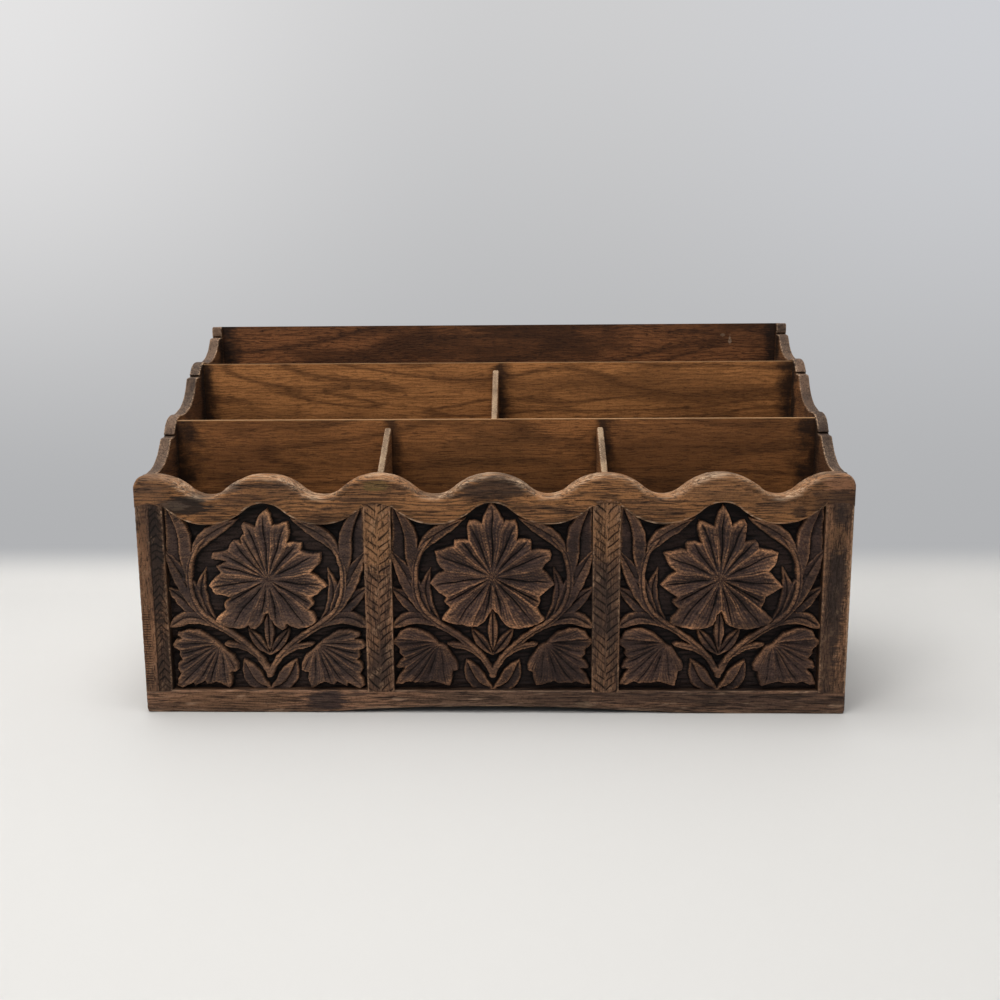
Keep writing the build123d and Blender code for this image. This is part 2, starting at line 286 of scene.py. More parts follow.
class Tree:
    """A short way to write the nodes of a material or a node group."""

    def __init__(self, tree: bpy.types.NodeTree) -> None:
        """Keep the node tree that is written."""
        self.tree = tree

    def link(self, value: Socket, target: Socket) -> None:
        """Link an output to an input."""
        self.tree.links.new(value, target)

    def add(self, kind: str, inputs: dict | None = None, **settings: object) -> bpy.types.Node:
        """Add a node with its settings and inputs.

        Args:
            kind: Name of the node's type, without the words ShaderNode.
            inputs: Values or output sockets by the name or number of the input.
            settings: Properties of the node.

        Returns:
            The new node.
        """
        node = self.tree.nodes.new("ShaderNode" + kind)
        for key, value in settings.items():
            setattr(node, key, value)
        for key, value in (inputs or {}).items():
            if isinstance(value, Socket):
                self.link(value, node.inputs[key])
            else:
                node.inputs[key].default_value = value
        return node

    def math(self, operation: str, first: Value, second: Value = 0.0, clamp: bool = False) -> Socket:
        """A Math node's result for two values or sockets."""
        node = self.add("Math", {0: first, 1: second}, operation=operation, use_clamp=clamp)
        return node.outputs[0]

    def rise(
        self, value: Value, low: float, high: float, start: float = 0.0, end: float = 1.0
    ) -> Socket:
        """Map a value smoothly from one range onto another.

        Args:
            value: What is mapped.
            low: Value that gives the start.
            high: Value that gives the end.
            start: Result at and below the low value.
            end: Result at and above the high value.

        Returns:
            The mapped value.
        """
        node = self.add(
            "MapRange",
            {"Value": value, "From Min": low, "From Max": high, "To Min": start, "To Max": end},
            interpolation_type="SMOOTHSTEP",
        )
        return node.outputs["Result"]

    def blend(self, share: Value, first: Colour, second: Colour) -> Socket:
        """A colour between two colours."""
        return self.add("Mix", {0: share, 6: first, 7: second}, data_type="RGBA").outputs[2]

    def shader(self, share: Value, first: bpy.types.Node, second: bpy.types.Node) -> bpy.types.Node:
        """A shader between two shaders."""
        return self.add("MixShader", {0: share, 1: first.outputs[0], 2: second.outputs[0]})

    def part(self, vector: Socket, letter: str) -> Socket:
        """One coordinate of a vector, by its letter."""
        return self.add("SeparateXYZ", {"Vector": vector}).outputs[letter]

    def normal(self, letter: str) -> Socket:
        """One coordinate of the surface's normal."""
        return self.part(self.add("NewGeometry").outputs["Normal"], letter)

    def noise(
        self, place: Socket, scale: float, detail: float = 3.0, rough: float = 0.55, warp: float = 0.0
    ) -> Socket:
        """A noise value at a place.

        Args:
            place: Where the noise is read.
            scale: Waves to a unit of the place.
            detail: Number of finer layers.
            rough: Strength of each finer layer over the one before it.
            warp: How far the noise bends itself.

        Returns:
            The value, mostly near a half.
        """
        node = self.add(
            "TexNoise",
            {"Vector": place, "Scale": scale, "Detail": detail, "Roughness": rough, "Distortion": warp},
        )
        return node.outputs["Fac"]

    def stretched(self, place: Socket, x: float, y: float, z: float) -> Socket:
        """A place with its three coordinates scaled."""
        node = self.add("VectorMath", {0: place, 1: (x, y, z)}, operation="MULTIPLY")
        return node.outputs[0]


def new_material(name: str) -> tuple[bpy.types.Material, Tree, bpy.types.Node]:
    """Start a material.

    Args:
        name: Name of the material.

    Returns:
        The material, the writer of its tree and its Principled shader.
    """
    material = bpy.data.materials.new(name)
    material.use_nodes = True
    return material, Tree(material.node_tree), material.node_tree.nodes["Principled BSDF"]


GroupParts = tuple[bpy.types.NodeTree, Tree, bpy.types.Node, bpy.types.Node]


def new_group(name: str, inputs: list[tuple[str, str, float]], outputs: list[str]) -> GroupParts:
    """Start a node group with named sockets.

    Args:
        name: Name of the group.
        inputs: Name, type of socket and first value of each input.
        outputs: Names of the value outputs.

    Returns:
        The group, its tree writer, its input node and its output node.
    """
    group = bpy.data.node_groups.new(name, "ShaderNodeTree")
    for label, kind, value in inputs:
        socket = group.interface.new_socket(label, in_out="INPUT", socket_type=kind)
        if kind == "NodeSocketFloat":
            socket.default_value = value
    for label in outputs:
        group.interface.new_socket(label, in_out="OUTPUT", socket_type="NodeSocketFloat")
    start = group.nodes.new("NodeGroupInput")
    end = group.nodes.new("NodeGroupOutput")
    return group, Tree(group), start, end


def figure_group() -> bpy.types.NodeTree:
    """The wood's own figure: rings, pores and blotches.

    Rings are the fractional contour lines of a noise that is stretched along the grain, so
    they close into long arches. Pores are short dark dashes along the grain. The fibres are a
    noise along the grain with a sine wave across it, bent by a second noise.

    Returns:
        A group with the inputs Place and Rings and the outputs Ring, Pore, Fibre and Blotch.
    """
    group, tree, start, end = new_group(
        "wood_figure",
        [("Place", "NodeSocketVector", 0.0), ("Rings", "NodeSocketFloat", 9.0)],
        ["Ring", "Pore", "Fibre", "Blotch"],
    )
    place = start.outputs["Place"]
    field_value = tree.noise(tree.stretched(place, 0.006, 0.02, 0.03), 1.0, 2.0, 0.45, 0.6)
    jitter = tree.noise(tree.stretched(place, 0.06, 0.6, 0.6), 1.0, 2.0)
    contour = tree.math("MULTIPLY", field_value, start.outputs["Rings"])
    contour = tree.math("ADD", contour, tree.math("MULTIPLY", jitter, 0.3))
    ring = tree.rise(tree.math("PINGPONG", contour, 0.5), 0.0, 0.22)
    dash = tree.noise(tree.stretched(place, 0.27, 2.0, 2.4), 1.0, 2.0, 0.6)
    early = tree.math("SUBTRACT", 1.0, ring)
    pore = tree.math("ADD", dash, tree.math("MULTIPLY", early, 0.07))
    pore = tree.rise(pore, 0.545, 0.64)
    fibre = tree.noise(tree.stretched(place, 0.045, 0.9, 1.15), 1.0, 5.0, 0.7)
    warp = tree.noise(tree.stretched(place, 0.03, 0.09, 0.1), 1.0, 3.0, 0.6)
    waves = tree.math("MULTIPLY", tree.part(place, "Z"), 3.6)
    phase = tree.math("ADD", waves, tree.math("MULTIPLY", warp, 46.0))
    curl = tree.math("MULTIPLY", tree.math("SINE", phase), 0.085)
    fibre = tree.math("ADD", fibre, curl)
    blotch = tree.noise(tree.stretched(place, 0.02, 0.04, 0.05), 1.0, 3.0, 0.6, 0.4)
    for label, value in (("Ring", ring), ("Pore", pore), ("Fibre", fibre), ("Blotch", blotch)):
        tree.link(value, end.inputs[label])
    return group


def near_group() -> bpy.types.NodeTree:
    """A soft uneven band beside a plane, for stain left in corners, painted shade low in a pocket, and wear
    with a painted highlight on top edges.

    One where the distance between Value and Plane is nought, and nought beyond Reach. Uneven
    moves the band's border by a noise.

    Returns:
        A group with the inputs Place, Value, Plane, Reach and Uneven and the output Band.
    """
    group, tree, start, end = new_group(
        "band_beside_plane",
        [
            ("Place", "NodeSocketVector", 0.0),
            ("Value", "NodeSocketFloat", 0.0),
            ("Plane", "NodeSocketFloat", 0.0),
            ("Reach", "NodeSocketFloat", 10.0),
            ("Uneven", "NodeSocketFloat", 0.6),
        ],
        ["Band"],
    )
    gap = tree.math("SUBTRACT", start.outputs["Value"], start.outputs["Plane"])
    share = tree.math("DIVIDE", tree.math("ABSOLUTE", gap), start.outputs["Reach"])
    rough = tree.noise(tree.stretched(start.outputs["Place"], 0.09, 0.12, 0.13), 1.0, 5.0, 0.7)
    shift = tree.math("MULTIPLY", tree.math("SUBTRACT", rough, 0.5), start.outputs["Uneven"])
    share = tree.math("ADD", share, tree.math("MULTIPLY", shift, 2.0))
    band = tree.rise(share, 0.0, 1.0, 1.0, 0.0)
    tree.link(band, end.inputs["Band"])
    return group


def patch_group() -> bpy.types.NodeTree:
    """An uneven patch round a place, for worn, darkened or tinted spots.

    The distance from Centre, each coordinate divided by Size, is one on the patch's border. A
    noise along the grain frays that border.

    Returns:
        A group with the inputs Place, Centre and Size and the output Patch.
    """
    group, tree, start, end = new_group(
        "uneven_patch",
        [
            ("Place", "NodeSocketVector", 0.0),
            ("Centre", "NodeSocketVector", 0.0),
            ("Size", "NodeSocketVector", 0.0),
        ],
        ["Patch"],
    )
    place = start.outputs["Place"]
    gap = tree.add("VectorMath", {0: place, 1: start.outputs["Centre"]}, operation="SUBTRACT").outputs[0]
    share = tree.add("VectorMath", {0: gap, 1: start.outputs["Size"]}, operation="DIVIDE").outputs[0]
    away = tree.add("VectorMath", {0: share}, operation="LENGTH").outputs["Value"]
    fray = tree.noise(tree.stretched(place, 0.09, 0.4, 0.75), 1.0, 5.0, 0.75)
    away = tree.math("ADD", away, tree.math("MULTIPLY", tree.math("SUBTRACT", fray, 0.5), 2.4))
    tree.link(tree.rise(away, 0.75, 1.1, 1.0, 0.0), end.inputs["Patch"])
    return group


class Axis(Enum):
    """The direction of a board's grain, or across the plane of a band."""

    X = "x"
    Y = "y"
    Z = "z"


@dataclass(frozen=True)
class Band:
    """Stain, painted shade, wear and painted highlight: a band of one of these beside a plane across one
    axis.
    """

    axis: Axis
    plane: float
    reach: float
    strength: float = 1.0
    uneven: float = 0.6


@dataclass(frozen=True)
class Patch:
    """A spot of another tone: its centre and half size over X and Z, its tone and strength."""

    centre: tuple[float, float]
    size: tuple[float, float]
    tone: tuple[float, float, float]
    strength: float = 0.8


@dataclass(frozen=True)
class Stain:
    """A stained and glazed wood finish.

    The tones run from the open wood to the rings, the pores, the dark glaze that stays in
    corners and hollows, joined by painted shade in the carving's hollows, under the rim and low
    in the front pocket, and the worn wood on edges, joined by painted highlights on the raised
    carving, the rim's top and the partitions' top edges.
    """

    name: str
    light: tuple[float, float, float]
    ring: tuple[float, float, float]
    pore: tuple[float, float, float]
    glaze: tuple[float, float, float]
    worn: tuple[float, float, float]
    grain: Axis = Axis.X
    rings: float = 9.0
    ring_share: float = 0.55
    fibre_share: float = 0.55
    pore_share: float = 0.8
    glaze_and_shade_bands: tuple[Band, ...] = ()
    wear_and_highlight_bands: tuple[Band, ...] = ()
    patches: tuple[Patch, ...] = ()
    edge_tone: tuple[float, float, float] | None = None
    edge_dark: tuple[float, float, float] = (66, 52, 45)
    carved: bool = False
    front_glaze: bool = False
    lengthen: float = 1.0
    blotch_share: float = 0.5
    wear_share: float = 0.9
    wear_grit: tuple[float, float, float] = (0.9, 1.1, 1.2)
    wear_least: float = 0.1
    specks: float = 0.0
    glaze_and_shade_share: float = 0.95
    rough: float = 0.6
    bump: float = 0.2
    bump_depth: float = 0.0006
    specular: float = 0.14

    def build(self, groups: "Groups") -> bpy.types.Material:
        """Write the material.

        Args:
            groups: The shared node groups.

        Returns:
            The material.
        """
        material, tree, shader = new_material(self.name)
        coordinates = tree.add("TexCoord").outputs["Object"]
        place = tree.stretched(coordinates, 1 / MM, 1 / MM, 1 / MM)
        along = tree.stretched(self.turned(tree, place), self.lengthen, 1.0, 1.0)
        wood = tree.add("Group", {"Place": along, "Rings": self.rings}, node_tree=groups.figure)
        colour = self.toned(tree, place, wood, groups)
        glaze, wear = self.glaze_and_wear(tree, place, wood, groups)
        colour = tree.blend(glaze, colour, srgb(*self.glaze))
        colour = tree.blend(wear, colour, srgb(*self.worn))
        tree.link(colour, shader.inputs["Base Color"])
        rough = tree.rise(wood.outputs["Fibre"], 0.3, 0.7, self.rough - 0.07, self.rough + 0.1)
        tree.link(rough, shader.inputs["Roughness"])
        height = tree.math("SUBTRACT", wood.outputs["Fibre"], wood.outputs["Pore"])
        bump = tree.add("Bump", {"Strength": self.bump, "Distance": self.bump_depth, "Height": height})
        tree.link(bump.outputs["Normal"], shader.inputs["Normal"])
        shader.inputs["Specular IOR Level"].default_value = self.specular
        return material

    def toned(
        self, tree: Tree, place: Socket, wood: bpy.types.Node, groups: "Groups"
    ) -> Socket:
        """The wood's colour before glaze and wear: edge tone, patches, pores and specks.

        Args:
            tree: Writer of the material's tree.
            place: Place in millimetres.
            wood: The placed figure group.
            groups: The shared node groups.

        Returns:
            The colour.
        """
        colour = self.open_wood(tree, wood)
        if self.edge_tone:
            mottle = tree.rise(wood.outputs["Blotch"], 0.42, 0.58)
            tone = tree.blend(mottle, srgb(*self.edge_tone), srgb(*self.edge_dark))
            colour = tree.blend(self.facing_edge(tree), colour, tone)
        for patch in self.patches:
            centre = (patch.centre[0], 0.0, patch.centre[1])
            size = (patch.size[0], ALL_DEPTHS, patch.size[1])
            inputs = {"Place": place, "Centre": centre, "Size": size}
            spot = tree.add("Group", inputs, node_tree=groups.patch)
            share = tree.math("MULTIPLY", spot.outputs["Patch"], patch.strength)
            colour = tree.blend(share, colour, srgb(*patch.tone))
        dark = tree.math("MULTIPLY", wood.outputs["Pore"], self.pore_share)
        colour = tree.blend(dark, colour, srgb(*self.pore))
        if self.specks:
            speck = tree.noise(tree.stretched(place, 1.1, 1.1, 1.3), 1.0, 3.0, 0.65)
            colour = tree.blend(tree.rise(speck, 0.5, 0.66, 0.0, self.specks), colour, srgb(*self.pore))
        return colour

    def glaze_and_wear(
        self, tree: Tree, place: Socket, wood: bpy.types.Node, groups: "Groups"
    ) -> tuple[Value, Value]:
        """How much dark glaze with painted shade, and how much worn wood with painted highlight, shows.

        Args:
            tree: Writer of the material's tree.
            place: Place in millimetres.
            wood: The placed figure group.
            groups: The shared node groups.

        Returns:
            The shares of glaze and wear, each a socket, or 0 where there is none.
        """
        glaze = self.bands(tree, place, groups.near, self.glaze_and_shade_bands)
        if self.edge_tone:
            glaze = tree.math("MULTIPLY", glaze, self.facing_inside(tree, place))
        if self.front_glaze:
            glaze = tree.math("MULTIPLY", glaze, self.facing_front(tree))
        wear = self.bands(tree, place, groups.near, self.wear_and_highlight_bands)
        if self.carved:
            # The mesh's hollow mask holds glaze and painted shade: in the carving's hollows and cuts, under
            # the rim, and on the recess walls.
            hollow = tree.add("Attribute", attribute_name="hollow").outputs["Fac"]
            glaze = tree.math("MAXIMUM", glaze, tree.math("MULTIPLY", hollow, self.glaze_and_shade_share))
            kept = tree.math("SUBTRACT", 1.0, tree.math("MULTIPLY", wood.outputs["Pore"], 0.75))
            wear = tree.math("MAXIMUM", wear, tree.math("MULTIPLY", kept, self.worn_edges(tree, place)))
        return glaze, wear

    def open_wood(self, tree: Tree, wood: bpy.types.Node) -> Socket:
        """The colour of the open wood from its rings, blotches and fibres.

        Args:
            tree: Writer of the material's tree.
            wood: The placed figure group.

        Returns:
            The colour.
        """
        early = tree.math("SUBTRACT", 1.0, wood.outputs["Ring"])
        colour = tree.blend(
            tree.math("MULTIPLY", early, self.ring_share), srgb(*self.light), srgb(*self.ring)
        )
        keep = tree.rise(wood.outputs["Blotch"], 0.42, 0.6, 0.0, self.blotch_share)
        colour = tree.blend(keep, colour, srgb(*self.ring))
        fibre = tree.rise(wood.outputs["Fibre"], 0.46, 0.6, 0.0, self.fibre_share)
        return tree.blend(fibre, colour, srgb(*self.ring))

    def worn_edges(self, tree: Tree, place: Socket) -> Socket:
        """The mesh's own worn edges, broken up by a fine and a wide noise; on the carving and the rim's top
        they also paint highlights.

        Args:
            tree: Writer of the material's tree.
            place: Place in millimetres.

        Returns:
            The share of worn wood.
        """
        edge = tree.add("Attribute", attribute_name="worn").outputs["Fac"]
        grit = tree.noise(tree.stretched(self.turned(tree, place), *self.wear_grit), 1.0, 4.0, 0.7)
        patch = tree.noise(tree.stretched(place, 0.05, 0.05, 0.06), 1.0, 3.0, 0.6)
        edge = tree.math("MULTIPLY", edge, tree.rise(grit, 0.43, 0.56, self.wear_least, 1.0))
        edge = tree.math("MULTIPLY", edge, tree.rise(patch, 0.38, 0.58, 0.3, 1.0))
        return tree.math("MULTIPLY", edge, self.wear_share)

    @staticmethod
    def facing_edge(tree: Tree) -> Socket:
        """One on a side board's narrow edge and nought on its two faces across X."""
        return tree.rise(tree.math("ABSOLUTE", tree.normal("X")), 0.35, 0.75, 1.0, 0.0)

    @staticmethod
    def facing_front(tree: Tree) -> Socket:
        """One on faces that look to the front, nought on the others."""
        return tree.rise(tree.normal("Y"), -0.7, -0.3, 1.0, 0.0)

    @staticmethod
    def facing_inside(tree: Tree, place: Socket) -> Socket:
        """One on a side board's inner face, where X and the normal's X have unlike signs."""
        product = tree.math("MULTIPLY", tree.normal("X"), tree.part(place, "X"))
        return tree.rise(product, -100.0, -60.0, 1.0, 0.0)

    def turned(self, tree: Tree, place: Socket) -> Socket:
        """Turn the place so that its first coordinate runs along the grain.

        Args:
            tree: Writer of the material's tree.
            place: Place in millimetres.

        Returns:
            The turned place.
        """
        if self.grain is Axis.X:
            return place
        turn = (0.0, 0.0, math.pi / 2) if self.grain is Axis.Y else (0.0, math.pi / 2, 0.0)
        return tree.add("Mapping", {"Vector": place, "Rotation": turn}).outputs["Vector"]

    def bands(
        self,
        tree: Tree,
        place: Socket,
        near: bpy.types.NodeTree,
        listed: tuple[Band, ...],
    ) -> Value:
        """The strongest of the listed bands at each place.

        Args:
            tree: Writer of the material's tree.
            place: Place in millimetres.
            near: Group of the band beside a plane.
            listed: Bands to join.

        Returns:
            A socket from 0 to 1, or 0 where none is listed.
        """
        total: Value = 0.0
        if not listed:
            return total
        parts = tree.add("SeparateXYZ", {"Vector": place}).outputs
        for band in listed:
            inputs = {"Place": place, "Value": parts[band.axis.name], "Plane": band.plane}
            inputs |= {"Reach": band.reach, "Uneven": band.uneven}
            node = tree.add("Group", inputs, node_tree=near)
            share = tree.math("MULTIPLY", node.outputs["Band"], band.strength, clamp=True)
            total = tree.math("MAXIMUM", total, share)
        return total


@dataclass(frozen=True)
class Groups:
    """The node groups that every finish shares."""

    figure: bpy.types.NodeTree
    near: bpy.types.NodeTree
    patch: bpy.types.NodeTree


class Form(Enum):
    """How a carved blade's half width runs from its root to its tip.

    Each value is the share of the root, the place of the widest point, and the power of the
    curve to the tip: a high power gives a blunt tip.
    """

    LEAF = (0.12, 0.5, 1.8)
    STEM = (0.85, 0.3, 9.0)
    SICKLE = (0.3, 0.65, 3.2)

    def half(self, share: np.ndarray) -> np.ndarray:
        """The half width at a share of the length, as a part of the widest.

        A quarter sine up to the widest point, then one minus a power of what is left.

        Args:
            share: Shares of the length from 0 at the root to 1 at the tip.

        Returns:
            Values from 0 to 1.
        """
        root, widest, power = self.value
        rise = root + (1.0 - root) * np.sin(0.5 * math.pi * np.clip(share / widest, 0.0, 1.0))
        left = np.clip((share - widest) / (1.0 - widest), 0.0, 1.0)
        return np.where(share < widest, rise, 1.0 - left**power)


@dataclass(frozen=True)
class Blade:
    """One carved petal, leaf or stem along a smooth line through its points."""

    points: tuple[tuple[float, float], ...]
    width: float
    form: Form
    height: float
    dish: float = 0.0
    tilt: float = 0.0
    vein: float = 0.6

    def mirrored(self) -> "Blade":
        """The same blade in the other half of the field."""
        return replace(self, points=tuple((-u, z) for u, z in self.points), tilt=-self.tilt)

    def line(self) -> np.ndarray:
        """Work out the blade's middle, a Catmull-Rom curve through its given points.

        Returns:
            Points along the curve.
        """
        given = np.array(self.points, float)
        if len(given) == 2:
            return given
        ends = np.concatenate([[2 * given[0] - given[1]], given, [2 * given[-1] - given[-2]]])
        share = np.linspace(0.0, 1.0, 7)[:-1, None]
        a, b, c, d = ends[:-3, None], ends[1:-2, None], ends[2:-1, None], ends[3:, None]
        curve = 0.5 * (
            2 * b
            + (c - a) * share
            + (2 * a - 5 * b + 4 * c - d) * share**2
            + (3 * b - a - 3 * c + d) * share**3
        )
        return np.concatenate([curve.reshape(-1, 2), given[-1:]])

    def carve(self, u: np.ndarray, z: np.ndarray, surface: np.ndarray, edge: np.ndarray) -> None:
        """Raise the surface where the blade stands higher.

        The distance to the nearest run of the line gives the place across the blade, and the
        length up to there the place along it. The wall is a smooth step on the outline.

        Args:
            u: Grid of X in the field.
            z: Grid of Z.
            surface: Heights over the field's floor, raised in place.
            edge: Uneven shift of the outline.
        """
        line = self.line()
        reach = self.width / 2 + 1.5
        low = line.min(axis=0) - reach
        high = line.max(axis=0) + reach
        rows = np.nonzero((u[:, 0] > low[0]) & (u[:, 0] < high[0]))[0]
        if not len(rows):
            return
        part = (slice(rows[0], rows[-1] + 1), slice(None))
        pu, pz = u[part], z[part]
        run = np.diff(line, axis=0)
        length = np.hypot(run[:, 0], run[:, 1])
        before = np.concatenate([[0.0], np.cumsum(length)])
        best = np.full(pu.shape, 1e9)
        across = np.zeros(pu.shape)
        along = np.zeros(pu.shape)
        for k, (start, step) in enumerate(zip(line[:-1], run)):
            du = pu - start[0]
            dz = pz - start[1]
            share = (du * step[0] + dz * step[1]) / length[k] ** 2
            inside = np.clip(share, 0.0, 1.0)
            gap = np.hypot(du - inside * step[0], dz - inside * step[1])
            side = np.sign(step[0] * dz - step[1] * du)
            nearer = gap < best
            best = np.where(nearer, gap, best)
            across = np.where(nearer, side * gap, across)
            along = np.where(nearer, before[k] + inside * length[k], along)
        along /= before[-1]
        half = self.width / 2 * self.form.half(along)
        margin = half - best + edge[part]
        wall = smooth_step(-0.3, 0.4, margin)
        share = np.clip(best / np.maximum(half, 0.4), 0.0, 1.0)
        top = self.height - self.dish * (1.0 - share)
        low_side = across * np.sign(self.tilt) < 0.0
        middle = smooth_step(0.03, 0.15, along) * (1.0 - smooth_step(0.85, 0.98, along))
        top -= abs(self.tilt) * np.where(low_side, middle * (1.0 - 0.55 * share), 0.0)
        top -= self.vein * middle * np.clip(1.0 - np.abs(across) / 0.6, 0.0, 1.0)
        surface[part] = np.maximum(surface[part], wall * top)


@dataclass(frozen=True)
class Rim:
    """The scalloped rim as two edges over X, from arcs that meet in one direction."""

    top: float = 113.4
    wave: float = 10.0
    band: float = 13.0
    pitch: float = 52.75
    last_crest: int = 3

    def edge(self, x: np.ndarray, offset: float) -> np.ndarray:
        """Height of the rim's middle line moved by an offset across it.

        Crest arcs of the middle radius plus the offset and trough arcs of the radius less the
        offset meet where both slope by the same angle.

        Args:
            x: Places along the holder.
            offset: Distance across the band, up being positive.

        Returns:
            Heights at those places.
        """
        swing = 2 * math.atan2(self.wave, self.pitch / 2)
        radius = self.pitch / 4 / math.sin(swing)
        crest_r = radius + offset
        trough_r = radius - offset
        crest_z = self.top - self.band / 2
        nearest = np.clip(np.round(x / self.pitch), -self.last_crest, self.last_crest) * self.pitch
        gap = np.abs(x - nearest)
        crest = crest_z - radius + np.sqrt(np.maximum(crest_r**2 - gap**2, 0.0))
        rest = self.pitch / 2 - gap
        trough = crest_z - self.wave + radius - np.sqrt(np.maximum(trough_r**2 - rest**2, 0.0))
        beyond = np.abs(x) > self.last_crest * self.pitch
        on_crest = (gap <= crest_r * math.sin(swing)) | beyond
        return np.where(on_crest, crest, trough)


@dataclass
class FrontPanel:
    """The thick carved front: rim, stiles, rail and three carved fields."""

    width: float = 330.0
    thickness: float = 13.0
    outer_stile: float = 13.1
    inner_stile: float = 12.7
    rail_top: float = 11.0
    depth: float = 5.0
    arch_rise: float = 3.2
    arch_half: float = 84.0
    front_round: float = 3.4
    back_round: float = 1.8
    corner_round: float = 4.2
    end_round: float = 1.5
    seat: float = 0.05
    proud: float = 0.03
    bow_low: float = 0.9
    bow_high: float = 0.45
    bow_foot: float = 0.6
    end_turn: float = 5.6
    tuck: float = 1.5
    recess_top: float = 98.4
    rim: Rim = field(default_factory=Rim)

    @property
    def field_width(self) -> float:
        """Width of one field."""
        return (self.width - 2 * self.outer_stile - 2 * self.inner_stile) / 3

    def build(self, finishes: dict[str, bpy.types.Material]) -> None:
        """Build and report every piece of the front panel.

        Args:
            finishes: Materials by the piece that they belong to.
        """
        for piece in (
            self.rim_piece(finishes["rim"]),
            self.rail_piece(finishes["rail"]),
            *self.stile_pieces(finishes["stile"]),
            *self.field_pieces(finishes),
        ):
            LOG.info("built %s with %d faces", piece.name, len(piece.data.polygons))

    def rim_piece(self, finish: bpy.types.Material) -> bpy.types.Object:
        """The scalloped rim.

        A closed section is carried along X. Its height runs between the lower and the upper
        edge, and its roundings are measured square to the edge. The front swells by two
        parabolas that meet at six tenths of its height, but for its lower part over a stile.

        Args:
            finish: Material of the rim.

        Returns:
            The piece.
        """
        half = self.width / 2 - self.seat + self.proud
        inner = np.linspace(-half + self.end_turn, half - self.end_turn, 640)
        turn = np.linspace(0.0, math.pi / 2, 12)
        end = half - self.end_turn * (1.0 - np.sin(turn[1:]))
        x = np.concatenate([-end[::-1], inner, end])[:, None]
        from_end = half - np.abs(x)
        corner = self.corner_round
        low = self.rim.edge(x, -self.rim.band / 2)
        top = self.rim.edge(x, self.rim.band / 2)
        top -= corner - np.sqrt(corner**2 - np.clip(corner - from_end, 0.0, corner) ** 2)
        slope = np.gradient(top[:, 0], x[:, 0])[:, None]
        lean = 1.0 / np.sqrt(1.0 + np.clip(slope, -1.0, 1.0) ** 2)
        y, share, base, rise, lift, free, worn = self.rim_section().T
        off_ends = np.abs(x) < self.width / 2 - self.outer_stile
        from_stile = np.abs(np.abs(x) - self.rim.pitch) * off_ends
        merged = smooth_step(7.0, 6.1, from_stile)
        worn = worn * (1.0 - merged * (share == 0.0) * (y < 1.0))
        y = y * (1.0 - merged * (y < 1.0) * (share == 0.0))
        below = np.clip(1.0 - share / self.bow_foot, 0.0, 1.0) * (y < 1.0)
        above = np.clip((share - self.bow_foot) / (1.0 - self.bow_foot), 0.0, 1.0)
        above = above * np.clip(1.0 - rise / self.front_round, 0.0, 1.0)
        y = y + self.bow_low * below**2 * (1.0 - merged) + self.bow_high * above**2 * (y < self.front_round)
        z = low + share * (top - low - base / lean) + rise / lean + lift
        inside = smooth_step(0.0, 3.0, from_end)
        uneven = 0.3 * ripple(x, z, 5, 37.0, 29.0) + 0.16 * ripple(x, z, 6, 13.0, 3.0)
        groove = np.clip(ripple(x, z, 7, 34.0, 1.6) - 0.3, 0.0, 0.6)
        y = np.maximum(y, self.end_shape(x)) + np.clip(uneven + 0.4 * groove, 0.0, 1.0) * free * inside
        dip = np.clip(ripple(x, 0.0 * x, 8, 31.0, 9.0), 0.0, 1.0)
        z = z - 0.35 * dip * (rise > 0.0) * inside
        rows = z.shape[1]
        points = np.stack([np.broadcast_to(x, z.shape), y, z], axis=-1).reshape(-1, 3)
        seam = np.arange(len(x) - 1) * rows
        under = np.stack([seam + rows - 1, seam + 2 * rows - 1, seam + rows, seam], axis=1)
        caps = [list(range(rows)), list(range(len(points) - 1, len(points) - rows - 1, -1))]
        faces = grid_quads(len(x), rows).tolist() + under.tolist() + caps
        # The worn mask in streaks: wear, and on the top rounding a painted highlight.
        streak = smooth_step(-0.7, 0.7, ripple(x, z + 1.5 * y, 15, 26.0, 1.9))
        light = worn * (0.4 + 0.75 * streak) * (0.85 + 0.3 * ripple(x, z, 9, 26.0, 12.0))
        hollow = np.clip(uneven - 0.3 + 1.1 * groove, 0.0, 0.7) * free
        masks = {"worn": np.clip(light, 0.0, 1.0), "hollow": hollow}
        return new_piece("rim", points, faces, finish, masks, 55.0, ("front_panel",))

    def rim_section(self) -> np.ndarray:
        """The rim's closed section from its lower back edge over the front and the top.

        A point's height is its share of the height between the lower edge and the foot of the
        rounding, whose radius is the base, plus its rise on the rounding and a lift.

        Returns:
            A row per point: y, share, base, rise, lift, how free it is to move, and how worn, the wear on the
                top rounding being also a painted highlight.
        """
        r, c = self.front_round, self.back_round
        rows = [
            (self.depth + 2.0, 0.0, r, 0.0, 0.0, 0.0, 0.0),
            (0.4, 0.0, r, 0.0, 0.0, 0.0, 0.4),
            (0.1, 0.0, r, 0.0, 0.12, 0.0, 1.0),
            (0.0, 0.0, r, 0.0, 0.45, 0.0, 1.0),
        ]
        rows += [(0.0, share, r, 0.0, 0.0, 1.0, 0.0) for share in np.linspace(0.1, 0.92, 34)]
        # Wear over the top rounding, which also paints its highlight.
        for angle in np.linspace(0.0, math.pi / 2, 12):
            sine = math.sin(angle)
            rows.append((r * (1.0 - math.cos(angle)), 1.0, r, r * sine, 0.0, 1.0 - sine, 0.9 * sine**1.5))
        rows.append((8.0, 1.0, r, r, 0.0, 0.0, 0.8))
        for angle in np.linspace(0.0, math.pi / 2, 5):
            across = self.thickness - c * (1.0 - math.sin(angle))
            rows.append((across, 1.0, c, c * math.cos(angle), 0.0, 0.0, 0.8 - 0.4 * math.sin(angle)))
        rows += [(self.thickness, share, c, 0.0, 0.0, 0.0, 0.1) for share in (0.8, 0.4, 0.0)]
        return np.array(rows)

